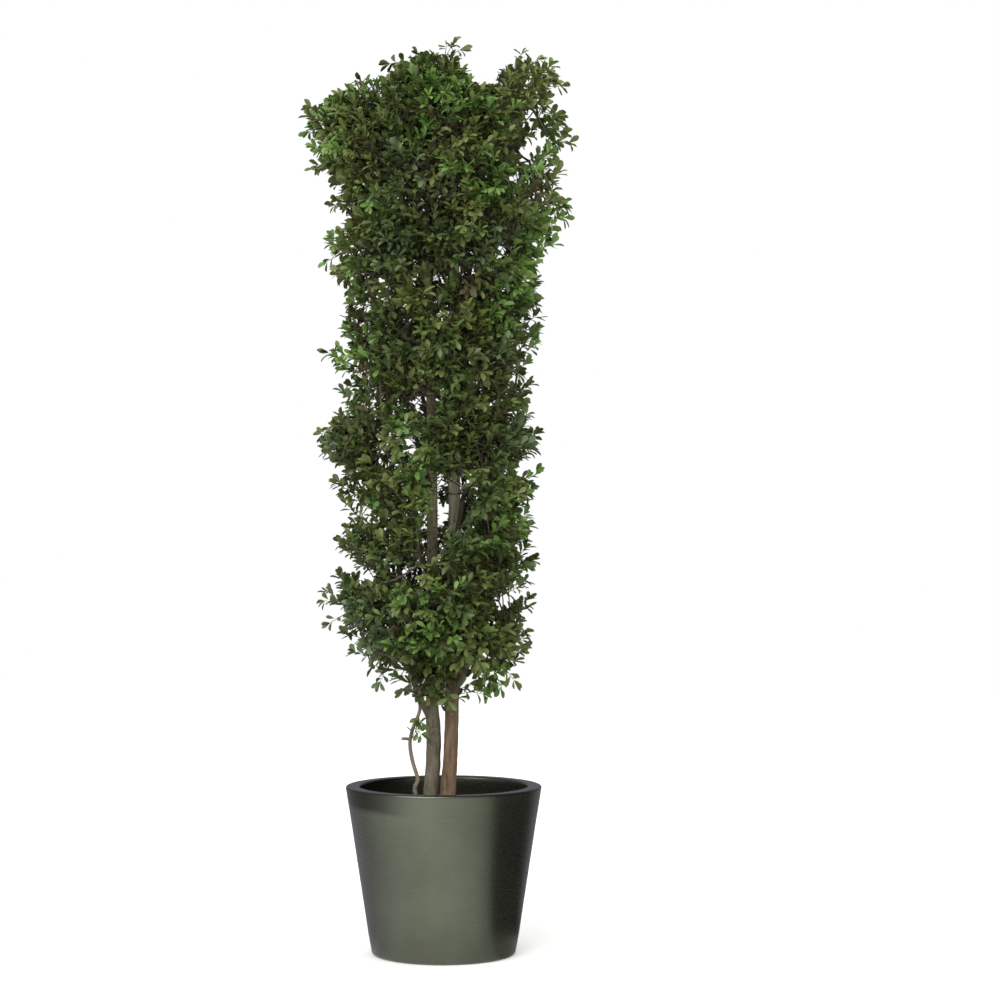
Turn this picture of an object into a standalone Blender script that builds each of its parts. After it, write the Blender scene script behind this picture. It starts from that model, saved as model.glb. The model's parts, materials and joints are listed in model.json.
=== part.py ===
"""A tall potted preserved pittosporum: two bare stems and a thin sucker in a tapered round
planter, under a dense, leafy column that is widest at its head.

Metres, +Z up. The origin is the middle of the planter's flat underside. +X is the right-hand
side of the plant and -Y its front.
"""

import math
import random
from bisect import bisect_right
from itertools import accumulate

import bmesh
import bpy
from mathutils import Matrix, Vector

# Planter: a turned vessel with a wide flat lip turned inwards
PLANTER_HEIGHT = 0.430
PLANTER_TOP_RADIUS = 0.252
PLANTER_BASE_RADIUS = 0.186
LIP_WIDTH = 0.036
LIP_DEPTH = 0.028
LIP_ROUNDING = 0.005
BASE_ROUNDING = 0.009
WALL = 0.012
FLOOR = 0.014
TURNED_STEPS = 32

# Potting soil, which fills the planter up to a little below its lip
SOIL_LEVEL = 0.368
SOIL_EDGE_DROP = 0.006
SOIL_FLAT_RADIUS = 0.120

# Two pieces that rest on each other keep this gap, because meshes hold 32-bit numbers
SEAT_GAP = 0.0003
BOUGH_FIT = 0.0004  # round a stem, for the roots of its boughs
TIP_CLEARANCE = 0.0002  # beyond a limb's tip, less than the gap to the foliage's own stem there
LIMB_GAP = 0.0030  # from foliage to the stems and boughs that it passes
WELD_DISTANCE = 0.00001
TURN_MERGE = 0.00005
SHARP_ANGLE = math.radians(35)
BARK_SHARP_ANGLE = math.radians(60)

# Stations along each stem: x, y, height above the soil, radius
RIGHT_STEM = (
    (0.010, -0.004, 0.000, 0.0240),
    (0.010, -0.004, 0.030, 0.0205),
    (0.018, -0.006, 0.155, 0.0180),
    (0.022, -0.006, 0.320, 0.0180),
    (0.028, -0.004, 0.770, 0.0158),
    (0.020, 0.000, 1.100, 0.0140),
    (0.030, 0.002, 1.420, 0.0110),
    (0.018, 0.000, 1.700, 0.0080),
)
LEFT_STEM = (
    (-0.034, 0.010, 0.000, 0.0225),
    (-0.034, 0.010, 0.030, 0.0196),
    (-0.026, 0.010, 0.155, 0.0192),
    (-0.030, 0.012, 0.260, 0.0172),
    (-0.030, 0.012, 0.320, 0.0156),
    (-0.030, 0.010, 0.690, 0.0145),
    (-0.033, 0.008, 1.030, 0.0125),
    (-0.040, 0.006, 1.350, 0.0098),
    (-0.078, 0.004, 1.600, 0.0072),
)
SUCKER = (
    (-0.066, -0.026, 0.000, 0.0066),
    (-0.066, -0.026, 0.018, 0.0062),
    (-0.074, -0.028, 0.056, 0.0060),
    (-0.066, -0.030, 0.080, 0.0052),
    (-0.078, -0.032, 0.122, 0.0052),
    (-0.086, -0.034, 0.170, 0.0048),
    (-0.079, -0.036, 0.209, 0.0046),
    (-0.062, -0.038, 0.252, 0.0044),
    (-0.060, -0.040, 0.276, 0.0040),
)
STEPS_PER_STATION = 2
STEM_SIDES = 10
THIN_SIDES = 6  # on the sucker, the boughs and the stems inside the masses

# The crown: heights, and how far it reaches there to the left, right, front and back
CROWN = (
    (0.632, 0.105, 0.070, 0.110, 0.070),
    (0.685, 0.165, 0.165, 0.150, 0.150),
    (0.755, 0.255, 0.220, 0.230, 0.230),
    (0.900, 0.332, 0.252, 0.277, 0.270),
    (1.000, 0.296, 0.244, 0.262, 0.276),
    (1.120, 0.264, 0.252, 0.254, 0.280),
    (1.310, 0.346, 0.262, 0.286, 0.264),
    (1.410, 0.276, 0.252, 0.266, 0.266),
    (1.560, 0.318, 0.268, 0.274, 0.294),
    (1.680, 0.272, 0.272, 0.264, 0.274),
    (1.760, 0.322, 0.268, 0.300, 0.268),
    (1.900, 0.298, 0.344, 0.292, 0.288),
    (2.060, 0.364, 0.348, 0.288, 0.308),
    (2.190, 0.368, 0.340, 0.276, 0.298),
    (2.280, 0.230, 0.322, 0.212, 0.222),
    (2.330, 0.112, 0.286, 0.122, 0.132),
    (2.358, 0.040, 0.110, 0.050, 0.050),
)

# Openings through the crown where sky or bare stem shows: x, z, half width, half height
SKY_GAPS = (
    (0.142, 2.345, 0.046, 0.090),
    (0.012, 1.160, 0.034, 0.066),
    (-0.034, 1.408, 0.022, 0.030),
)
GRADIENT_STEP = 0.010
SHAFT = 0.058  # no core reaches nearer to the stems than this

# Masses of foliage, in a rising spiral round the stems, with three at the head
SPIRAL_MASSES = 18
SPIRAL_BOTTOM = 0.780
SPIRAL_TOP = 2.050
FIRST_TURN = math.radians(200)
MASS_DISTANCE = 0.56  # of the crown's reach that way
HEAD_MASSES = (
    ("head", (0.010, 0.000, 2.225), (0.05, 0.0, 1.0)),
    ("head_left", (-0.215, 0.010, 2.120), (-0.65, 0.0, 0.75)),
    ("head_right", (0.235, -0.010, 2.195), (0.5, 0.0, 0.85)),
)
LOW_MASS_OFFSET = (-0.020, -0.020, 0.024)
LOW_MASS_HEADING = (-0.80, -0.45, 0.25)

# Boughs, which leave a stem and rise to the mass that they carry
BOUGH_REACH = 0.088
BOUGH_DROP = 0.060  # how far below the middle of its mass a bough enters it
BOUGH_RISE = 0.130
BOUGH_SHARE = 0.56  # of the stem's radius where the bough leaves it
BOUGH_TAPER = 0.68
BOUGH_KNEE = 0.62  # of the way along a bough, where it turns upwards
BOUGH_KNEE_DROP = 0.021
LIMB_STATIONS = 4
STEM_BEYOND = 0.040  # how far a mass's stem runs on beyond the middle of the mass
STEM_TAPER = 0.60
HIGHEST_BOUGH_ROOT = 0.050  # below the tip of its stem

# Twigs, one to each of a set of points spread evenly over the crown's surface
TWIGS = 112
TWIG_SIDES = 3
TWIG_STATIONS = 3
TWIG_RADIUS = 0.0034
TWIG_TIP_RADIUS = 0.0018
TWIG_SAG = 0.016
TWIG_INSET = 0.068  # from the foot of a rosette to the crown's surface
RING_SLICES = 8  # the crown's surface between two of its heights, for measuring its area
GOLDEN_ANGLE = math.pi * (3 - math.sqrt(5))

# Leaves, fewer and larger than life, in rosettes that stand on the tips of the twigs
LEAF_LENGTH = 0.096
LEAF_WIDTH = 0.056
LEAF_THICKNESS = 0.0026
LEAF_WIDEST = 0.60  # of the way from its foot to its tip
LEAF_RISES = (10, 38, 18, 56, 26)  # degrees, for the leaves of a rosette in turn
LEAF_RISE_SPREAD = 7
SHORTEST_LEAF = 0.84
ROSETTE_KINDS = 4
ROSETTE_SIZES = (1.0, 0.90, 0.80, 0.70, 0.60, 0.50)
ROSETTE_SHIFTS = (0.0, 0.025, 0.050)  # towards its mass's middle, where it wouldn't fit otherwise
HUB_RADIUS = 0.0050
HUB_HEIGHT = 0.0052
HUB_SINK = 0.0026

# Cores, each a rough ball drawn out as far as its mass's space allows
CORE_DEPTH = 0.078  # from the crown's surface to a core
CORE_ROUGHNESS = 0.06
CORE_STEP = 0.010
CORE_MOST = 0.300
CORE_LEAST = 0.012
CORE_CELL_GAP = 0.0060
CELL_GAP = 0.0045  # from a mass to the plane between it and its neighbour
SEED = 11


class Mass:
    """One mass of foliage: its name, its middle, and the way that its stem heads."""

    def __init__(self, name, centre, heading):
        self.name = name
        self.centre = Vector(centre)
        self.heading = Vector(heading).normalized()
        self.targets = []
        self.stem = []


def clear_scene():
    for obj in list(bpy.data.objects):
        bpy.data.objects.remove(obj, do_unlink=True)


def material(name, colour, roughness, metallic=0.0):
    made = bpy.data.materials.new(name)
    made.use_nodes = True
    shader = made.node_tree.nodes["Principled BSDF"]
    shader.inputs["Base Color"].default_value = (*colour, 1)
    shader.inputs["Roughness"].default_value = roughness
    shader.inputs["Metallic"].default_value = metallic
    return made


def new_collection(name):
    made = bpy.data.collections.new(name)
    bpy.context.scene.collection.children.link(made)
    return made


def new_object(name, data, collection, finish=None):
    made = bpy.data.objects.new(name, data)
    collection.objects.link(made)
    if finish:
        data.materials.clear()
        data.materials.append(finish)
    return made


def shade(obj, angle=SHARP_ANGLE):
    obj.data.shade_smooth()
    obj.data.set_sharp_from_angle(angle=angle)


def as_mesh(obj, weld=True):
    """Replaces obj with the plain mesh that it evaluates to, its loose caps welded on."""
    bpy.context.view_layer.update()
    graph = bpy.context.evaluated_depsgraph_get()
    mesh = bpy.data.meshes.new_from_object(obj.evaluated_get(graph), depsgraph=graph)
    if weld:
        work = bmesh.new()
        work.from_mesh(mesh)
        bmesh.ops.remove_doubles(work, verts=work.verts, dist=WELD_DISTANCE)
        bmesh.ops.recalc_face_normals(work, faces=work.faces)
        work.to_mesh(mesh)
        work.free()
    name = obj.name
    matrix = obj.matrix_world.copy()
    home = obj.users_collection[0]
    bpy.data.objects.remove(obj, do_unlink=True)
    made = new_object(name, mesh, home)
    made.matrix_world = matrix
    return made


def add_boolean(obj, operation, solver, others):
    """Adds a Boolean with one object or with a whole collection."""
    made = obj.modifiers.new(operation.lower(), "BOOLEAN")
    made.operation = operation
    made.solver = solver
    if isinstance(others, bpy.types.Collection):
        made.operand_type = "COLLECTION"
        made.collection = others
    else:
        made.object = others


# Turned pieces


def arc(centre, radius, start, end, steps=2):
    """Points of an arc in the profile's plane, angles in degrees."""
    turns = (math.radians(start + (end - start) * k / steps) for k in range(steps + 1))
    return [(centre[0] + radius * math.cos(a), centre[1] + radius * math.sin(a)) for a in turns]


def outer_radius(z):
    """Radius of the planter's outer face at a height."""
    return PLANTER_BASE_RADIUS + (PLANTER_TOP_RADIUS - PLANTER_BASE_RADIUS) * z / PLANTER_HEIGHT


def turned(name, profile, collection, finish):
    """A solid turned about Z from a profile of (radius, z), which ends down its outer side."""
    mesh = bpy.data.meshes.new(name)
    work = bmesh.new()
    points = [work.verts.new((r, 0, z)) for r, z in profile]
    for a, b in zip(points, points[1:]):
        work.edges.new((a, b))
    work.to_mesh(mesh)
    work.free()
    made = new_object(name, mesh, collection)
    screw = made.modifiers.new("turn", "SCREW")
    screw.steps = screw.render_steps = TURNED_STEPS
    screw.use_merge_vertices = True
    screw.merge_threshold = TURN_MERGE
    made = as_mesh(made)
    made.data.materials.append(finish)
    shade(made)
    return made


def planter(collection, finish):
    top, rim, base = PLANTER_HEIGHT, LIP_ROUNDING, BASE_ROUNDING
    lip_inside = PLANTER_TOP_RADIUS - LIP_WIDTH
    under_lip = top - LIP_DEPTH
    profile = [
        (0, FLOOR),
        (outer_radius(FLOOR) - WALL, FLOOR),
        (outer_radius(under_lip - LIP_WIDTH) - WALL, under_lip - LIP_WIDTH),
        (lip_inside, under_lip),
        *arc((lip_inside + rim, top - rim), rim, 180, 90),
        *arc((PLANTER_TOP_RADIUS - rim, top - rim), rim, 90, 0),
        *arc((PLANTER_BASE_RADIUS - base, base), base, 0, -90),
        (0, 0),
    ]
    return turned("planter", profile, collection, finish)


def soil(collection, finish):
    def inside(z):
        return outer_radius(z) - WALL - SEAT_GAP

    bottom = FLOOR + SEAT_GAP
    edge = SOIL_LEVEL - SOIL_EDGE_DROP
    profile = [
        (0, SOIL_LEVEL),
        (SOIL_FLAT_RADIUS, SOIL_LEVEL),
        (inside(edge), edge),
        (inside(bottom), bottom),
        (0, bottom),
    ]
    return turned("soil_fill", profile, collection, finish)


# Limbs, each a list of stations of (position, radius)


def smooth_stations(stations):
    """Points on a smooth curve through the stations. The first stretch stays upright and straight."""
    made = [stations[0]]
    for k in range(1, len(stations) - 1):
        a, b, c = stations[k - 1], stations[k], stations[k + 1]
        d = stations[min(k + 2, len(stations) - 1)]
        for step in range(STEPS_PER_STATION):
            t = step / STEPS_PER_STATION
            place = 0.5 * (
                2 * b[0]
                + (c[0] - a[0]) * t
                + (2 * a[0] - 5 * b[0] + 4 * c[0] - d[0]) * t**2
                + (3 * b[0] - a[0] - 3 * c[0] + d[0]) * t**3
            )
            made.append((place, b[1] + (c[1] - b[1]) * t))
    return [*made, stations[-1]]


def stem_stations(table):
    ground = SOIL_LEVEL + SEAT_GAP
    return smooth_stations([(Vector((x, y, ground + z)), r) for x, y, z, r in table])


def bend(start, knee, end, count):
    """Points on a quadratic curve from start to end that leans towards knee."""
    parts = [k / (count - 1) for k in range(count)]
    return [start * (1 - t) ** 2 + knee * 2 * t * (1 - t) + end * t**2 for t in parts]


def tapering(places, first_radius, last_radius):
    steps = len(places) - 1
    return [(p, first_radius + (last_radius - first_radius) * k / steps) for k, p in enumerate(places)]


def at_height(stations, z):
    """Position and radius of a stem at a height."""
    for (low, low_r), (high, high_r) in zip(stations, stations[1:]):
        if z <= high.z:
            t = (z - low.z) / (high.z - low.z)
            return low.lerp(high, t), low_r + (high_r - low_r) * t
    return stations[-1]


def swept(name, stations, collection, sides=THIN_SIDES, section=None):
    """A closed tapering tube through stations, round or with the section of a closed flat curve."""
    curve = bpy.data.curves.new(name, "CURVE")
    curve.dimensions = "3D"
    curve.use_fill_caps = True
    if section:
        curve.bevel_mode = "OBJECT"
        curve.bevel_object = section
    else:
        curve.bevel_depth = 1
        curve.bevel_resolution = (sides - 4) // 2
    spline = curve.splines.new("POLY")
    spline.points.add(len(stations) - 1)
    for point, (place, radius) in zip(spline.points, stations):
        point.co = (*place, 1)
        point.radius = radius
    return as_mesh(new_object(name, curve, collection))


def twig_section(collection):
    """The triangle that the three-sided twigs are swept from."""
    curve = bpy.data.curves.new("twig_section", "CURVE")
    curve.dimensions = "2D"
    spline = curve.splines.new("POLY")
    spline.points.add(TWIG_SIDES - 1)
    for k, point in enumerate(spline.points):
        turn = 2 * math.pi * k / TWIG_SIDES
        point.co = (math.cos(turn), math.sin(turn), 0, 1)
    spline.use_cyclic_u = True
    return as_helper(new_object("twig_section", curve, collection))


def as_helper(obj):
    obj.hide_render = True
    obj.display_type = "WIRE"
    return obj


def limb_cutter(name, stations, wider, longer, collection, sides=THIN_SIDES):
    """A limb made wider all round and longer at its tip, for cutting its neighbours clear of it."""
    (before, _), (tip, tip_radius) = stations[-2:]
    beyond = tip + (tip - before).normalized() * longer
    grown = [(place, radius + wider) for place, radius in stations[:-1]]
    return as_helper(swept(name, [*grown, (beyond, tip_radius + wider)], collection, sides))


def bough_stations(mass, stems):
    """From a stem's axis, out and up, to where the bough enters its mass."""
    stem = stems["left" if mass.centre.x < 0 else "right"]
    outward = Vector((mass.centre.x, mass.centre.y, 0)).normalized()
    entry = outward * BOUGH_REACH + Vector((0, 0, mass.centre.z - BOUGH_DROP))
    highest = stem[-1][0].z - HIGHEST_BOUGH_ROOT
    root, stem_radius = at_height(stem, min(entry.z - BOUGH_RISE, highest))
    knee = root.lerp(entry, BOUGH_KNEE) - Vector((0, 0, BOUGH_KNEE_DROP))
    radius = stem_radius * BOUGH_SHARE
    return tapering(bend(root, knee, entry, LIMB_STATIONS), radius, radius * BOUGH_TAPER)


# The crown's space, and how the masses share it


def reach_at(z):
    """How far the crown reaches to the left, right, front and back at a height."""
    for low, high in zip(CROWN, CROWN[1:]):
        if low[0] <= z <= high[0]:
            t = (z - low[0]) / (high[0] - low[0])
            return [a + (b - a) * t for a, b in zip(low[1:], high[1:])]
    return None


def reach_towards(z, turn):
    """The crown's radius at a height, in a direction round the axis."""
    left, right, front, back = reach_at(z)
    across = math.cos(turn) / (right if math.cos(turn) > 0 else left)
    along = math.sin(turn) / (back if math.sin(turn) > 0 else front)
    return 1 / math.hypot(across, along)


def outward_at(point):
    """The direction straight out through the crown's surface near a point on it."""
    def share(place):
        z = max(CROWN[0][0], min(CROWN[-1][0], place.z))
        return place.to_2d().length / reach_towards(z, math.atan2(place.y, place.x))

    ways = [way * GRADIENT_STEP for way in Matrix.Identity(3)]
    return Vector([share(point + way) - share(point - way) for way in ways]).normalized()


def in_outline(point, inset=0.0):
    """Whether a point is inside the crown, and deeper than inset."""
    ways = [way * side for way in Matrix.Identity(3) for side in (-inset, inset)]
    for way in ways if inset else [Vector()]:
        x, y, z = point + way
        if not CROWN[0][0] <= z <= CROWN[-1][0]:
            return False
        if math.hypot(x, y) > reach_towards(z, math.atan2(y, x)):
            return False
    return True


def in_sky_gap(point):
    return any(
        ((point.x - x) / half_width) ** 2 + ((point.z - z) / half_height) ** 2 < 1
        for x, z, half_width, half_height in SKY_GAPS
    )


def nearest_mass(point, masses):
    return min(masses, key=lambda mass: (point - mass.centre).length_squared)


def in_own_space(mass, point, masses, gap=CELL_GAP, inset=0.0):
    """Whether a point is in the crown, in no opening, and nearest to this mass's middle."""
    own = (point - mass.centre).length_squared
    for other in masses:
        if other is not mass:
            apart = (other.centre - mass.centre).length
            if (point - other.centre).length_squared - own < 2 * apart * gap:
                return False
    return not in_sky_gap(point) and in_outline(point, inset)


def clear_of_limbs(point, limbs, gap=LIMB_GAP):
    """Whether a point is clear of every stem and bough."""
    for stations in limbs:
        for (a, a_r), (b, b_r) in zip(stations, stations[1:]):
            run = b - a
            t = max(0.0, min(1.0, (point - a).dot(run) / run.length_squared))
            if (point - a - run * t).length < max(a_r, b_r) + gap:
                return False
    return True


def crown_masses(sucker_tip):
    made = []
    for k in range(SPIRAL_MASSES):
        z = SPIRAL_BOTTOM + (SPIRAL_TOP - SPIRAL_BOTTOM) * k / (SPIRAL_MASSES - 1)
        turn = FIRST_TURN + k * GOLDEN_ANGLE
        outward = Vector((math.cos(turn), math.sin(turn), 0))
        centre = outward * reach_towards(z, turn) * MASS_DISTANCE + Vector((0, 0, z))
        made.append(Mass(f"{k + 1:02d}", centre, outward))
    made += [Mass(name, centre, heading) for name, centre, heading in HEAD_MASSES]
    made.append(Mass("low", sucker_tip + Vector(LOW_MASS_OFFSET), LOW_MASS_HEADING))
    return made


def surface_points(count):
    """Points spread evenly over the crown's surface: equal areas of its rings, and the golden angle."""
    rings = [(sum(row[1:]) / 4, row[0]) for row in CROWN]
    profile = [(0.0, rings[0][1]), *rings, (0.0, rings[-1][1])]
    slices = []
    for (r, z), (next_r, next_z) in zip(profile, profile[1:]):
        for k in range(RING_SLICES):
            middle = (k + 0.5) / RING_SLICES
            slice_r = r + (next_r - r) * middle
            area = slice_r * math.hypot(next_r - r, next_z - z)
            slices.append((slice_r, z + (next_z - z) * middle, area))
    areas = list(accumulate(area for _, _, area in slices))
    for k in range(count):
        slice_r, z, _ = slices[bisect_right(areas, areas[-1] * (k + 0.5) / count)]
        turn = k * GOLDEN_ANGLE
        share = min(1.0, slice_r / (sum(reach_at(z)) / 4))
        r = reach_towards(z, turn) * share
        yield Vector((math.cos(turn) * r, math.sin(turn) * r, z))


# Foliage


def grow_leaf(work, foot, direction, length):
    """Draws a side of a rosette's hub out into a flat leaf that widens, and then narrows to its tip."""
    leaf = bmesh.ops.extrude_discrete_faces(work, faces=[foot])["faces"][0]
    middle = leaf.calc_center_median()
    across = direction.cross(Vector((0, 0, 1))).normalized()
    normal = across.cross(direction)
    for point in leaf.verts:
        side = math.copysign(LEAF_WIDTH / 2 * length / LEAF_LENGTH, (point.co - middle).dot(across))
        up = math.copysign(LEAF_THICKNESS / 2, (point.co - middle).dot(normal))
        point.co = middle + direction * length * LEAF_WIDEST + across * side + normal * up
    tip = bmesh.ops.poke(work, faces=[leaf])["verts"][0]
    tip.co = middle + direction * length


def rosette_mesh(kind):
    """Leaves drawn out of the sides of a small hub, which stands on the origin."""
    chance = random.Random(f"{SEED} rosette {kind}")
    work = bmesh.new()
    bmesh.ops.create_cone(
        work,
        cap_ends=True,
        segments=len(LEAF_RISES),
        radius1=HUB_RADIUS,
        radius2=HUB_RADIUS,
        depth=HUB_HEIGHT,
    )
    sides = [face for face in work.faces if abs(face.normal.z) < 0.5]
    for face, rise in zip(sides, LEAF_RISES):
        turn = math.radians(rise + chance.uniform(-LEAF_RISE_SPREAD, LEAF_RISE_SPREAD))
        direction = face.normal * math.cos(turn) + Vector((0, 0, math.sin(turn)))
        grow_leaf(work, face, direction, LEAF_LENGTH * chance.uniform(SHORTEST_LEAF, 1.0))
    bmesh.ops.translate(work, verts=work.verts, vec=(0, 0, HUB_HEIGHT / 2))
    mesh = bpy.data.meshes.new("rosette")
    work.to_mesh(mesh)
    work.free()
    return mesh


def place_rosette(mass, target, rosette, masses, limbs, chance):
    """The matrix of the largest rosette near a surface point that fits the mass's space, or None."""
    outward = outward_at(target)
    inward = mass.centre - target
    along_surface = (inward - outward * inward.dot(outward)).normalized()
    turn = Matrix.Rotation(chance.uniform(0, 2 * math.pi), 4, "Z")
    stand = outward.to_track_quat("Z", "Y").to_matrix().to_4x4()
    for size in ROSETTE_SIZES:
        for shift in ROSETTE_SHIFTS:
            foot = target + along_surface * shift - outward * TWIG_INSET
            matrix = Matrix.Translation(foot) @ stand @ turn @ Matrix.Scale(size, 4)
            corners = [matrix @ point.co for point in rosette.vertices]
            if all(in_own_space(mass, p, masses) and clear_of_limbs(p, limbs) for p in corners):
                return matrix
    return None


def core(mass, masses, collection):
    """A rough closed body inside the mass, as large as its space allows."""
    work = bmesh.new()
    bmesh.ops.create_icosphere(work, subdivisions=2, radius=1)
    chance = random.Random(f"{SEED} core {mass.name}")
    beside_stems = not mass.name.startswith("head")
    for point in work.verts:
        way = point.co.copy()
        reach = 0.0
        while reach < CORE_MOST:
            place = mass.centre + way * (reach + CORE_STEP)
            if beside_stems and place.to_2d().dot(mass.heading.to_2d()) < SHAFT:
                break
            if not in_own_space(mass, place, masses, CORE_CELL_GAP, CORE_DEPTH):
                break
            reach += CORE_STEP
        reach *= 1 - CORE_ROUGHNESS * chance.random()
        point.co = mass.centre + way * max(CORE_LEAST, reach)
    mesh = bpy.data.meshes.new("core")
    work.to_mesh(mesh)
    work.free()
    return new_object("core", mesh, collection)


def mass_stem(mass, limb):
    """Carries on from the tip of a limb, with a gap, to just beyond the middle of its mass."""
    (before, _), (entry, radius) = limb[-2:]
    onward = (entry - before).normalized()
    start = entry + onward * SEAT_GAP
    end = mass.centre + mass.heading * STEM_BEYOND
    places = bend(start, start + onward * STEM_BEYOND, end, LIMB_STATIONS)
    return tapering(places, radius, radius * STEM_TAPER)


def grow_mass(mass, masses, limbs, section, rosettes, parts):
    """A mass's stem, and a collection of its core and of the twigs and leaves that branch from it."""
    chance = random.Random(f"{SEED} {mass.name}")
    pieces = new_collection("pieces of foliage_" + mass.name)
    stem = swept("foliage_" + mass.name, mass.stem, parts)
    path = [place for place, _ in mass.stem]
    others = [*limbs, *(other.stem for other in masses if other is not mass)]
    if mass.name != "low":
        core(mass, masses, pieces)
    for target in mass.targets:
        rosette = chance.choice(rosettes)
        matrix = place_rosette(mass, target, rosette, masses, others, chance)
        if matrix is None:
            continue
        tip = matrix @ Vector((0, 0, HUB_SINK))
        root = min(path[1:], key=lambda p: (p - tip).length)
        knee = root.lerp(tip, 0.5) - Vector((0, 0, TWIG_SAG * chance.random()))
        places = bend(root, knee, tip, TWIG_STATIONS)
        if all(clear_of_limbs(p, others) for p in places):
            swept("twig", tapering(places, TWIG_RADIUS, TWIG_TIP_RADIUS), pieces, section=section)
            new_object("rosette", rosette, pieces).matrix_world = matrix
    return stem, pieces


def fuse(stem, pieces, clearance, finish):
    """Joins a stem with a collection's pieces, and cuts the whole clear of the limbs."""
    # MANIFOLD, because EXACT leaves open edges on some of the masses
    add_boolean(stem, "UNION", "MANIFOLD", pieces)
    add_boolean(stem, "DIFFERENCE", "MANIFOLD", clearance)
    fused = as_mesh(stem, weld=False)
    for obj in list(pieces.objects):
        bpy.data.objects.remove(obj, do_unlink=True)
    bpy.data.collections.remove(pieces)
    keep_outer_shell(fused.data)
    fused.data.materials.clear()
    fused.data.materials.append(finish)


def keep_outer_shell(mesh):
    """Drops loose scraps and the walls of sealed hollows: all but the largest shell."""
    work = bmesh.new()
    work.from_mesh(mesh)
    left = set(work.verts)
    shells = []
    while left:
        shell = set()
        waiting = [left.pop()]
        while waiting:
            point = waiting.pop()
            shell.add(point)
            for edge in point.link_edges:
                other = edge.other_vert(point)
                if other in left:
                    left.discard(other)
                    waiting.append(other)
        shells.append(shell)
    biggest = max(shells, key=len)
    bmesh.ops.delete(work, geom=[v for v in work.verts if v not in biggest], context="VERTS")
    work.to_mesh(mesh)
    work.free()


def make_stems(stems, parts, fitting, clearance, red_bark, grey_bark):
    for name, stations in stems.items():
        sides = THIN_SIDES if name == "sucker" else STEM_SIDES
        made = swept(f"stem_{name}", stations, parts, sides)
        made.data.materials.append(red_bark if name == "right" else grey_bark)
        shade(made, BARK_SHARP_ANGLE)
        limb_cutter(f"clear_{name}", stations, LIMB_GAP, TIP_CLEARANCE, clearance, sides)
        if name != "sucker":
            limb_cutter(f"fit_{name}", stations, BOUGH_FIT, 0, fitting, sides)


def make_bough(name, stations, parts, fitting, clearance, bark):
    """A bough, its root cut to the faces of the stems."""
    made = swept(f"bough_{name}", stations, parts)
    for cutter in fitting.objects:
        add_boolean(made, "DIFFERENCE", "EXACT", cutter)
    made = as_mesh(made)
    keep_outer_shell(made.data)
    made.data.materials.append(bark)
    shade(made, BARK_SHARP_ANGLE)
    limb_cutter(f"clear_{name}", stations, LIMB_GAP, TIP_CLEARANCE, clearance)


def build():
    clear_scene()
    parts = new_collection("potted pittosporum")
    guides = new_collection("guides")
    fitting = new_collection("cutters for the roots of the boughs")
    clearance = new_collection("cutters for clearance round the limbs")
    red_bark = material("reddish bark", (0.190, 0.115, 0.075), 0.85)
    grey_bark = material("grey bark", (0.150, 0.130, 0.100), 0.88)
    leaf_green = material("preserved leaf", (0.035, 0.070, 0.018), 0.45)
    planter(parts, material("satin green-grey planter", (0.115, 0.125, 0.098), 0.38, 0.6))
    soil(parts, material("dark potting soil", (0.030, 0.022, 0.016), 0.95))

    tables = {"right": RIGHT_STEM, "left": LEFT_STEM, "sucker": SUCKER}
    stems = {name: stem_stations(table) for name, table in tables.items()}
    make_stems(stems, parts, fitting, clearance, red_bark, grey_bark)

    masses = crown_masses(stems["sucker"][-1][0])
    carriers = {"head": stems["right"], "head_left": stems["left"], "low": stems["sucker"]}
    limbs = list(stems.values())
    for mass in masses:
        if mass.name not in carriers:
            carriers[mass.name] = bough_stations(mass, stems)
            limbs.append(carriers[mass.name])
            make_bough(mass.name, carriers[mass.name], parts, fitting, clearance, grey_bark)

    for point in surface_points(TWIGS):
        nearest_mass(point, masses).targets.append(point)
    around = {}
    for mass in masses:
        mass.stem = mass_stem(mass, carriers[mass.name])
        around[mass] = limb_cutter(f"clear_foliage_{mass.name}", mass.stem, LIMB_GAP, 0, clearance)
    section = twig_section(guides)
    rosettes = [rosette_mesh(kind) for kind in range(ROSETTE_KINDS)]
    for mass in masses:
        stem, pieces = grow_mass(mass, masses, limbs, section, rosettes, parts)
        # A mass is cut clear of every stem and bough but its own stem
        clearance.objects.unlink(around[mass])
        fuse(stem, pieces, clearance, leaf_green)
        clearance.objects.link(around[mass])


build()
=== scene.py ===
"""Looks of a tall potted preserved pittosporum: bark, boughs, twigs and leaves that grow on from its
limbs, potting soil, and a planter of satin green-grey metal, on a pale studio floor.

Metres, +Z up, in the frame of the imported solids. -Y is the front and +X the plant's right as seen
from there.
"""

import functools
import json
import math
import random
from bisect import bisect_right
from itertools import accumulate

import bmesh
import bpy
from bpy.props import FloatProperty, FloatVectorProperty, IntProperty, PointerProperty
from mathutils import Matrix, Quaternion, Vector, noise

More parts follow.
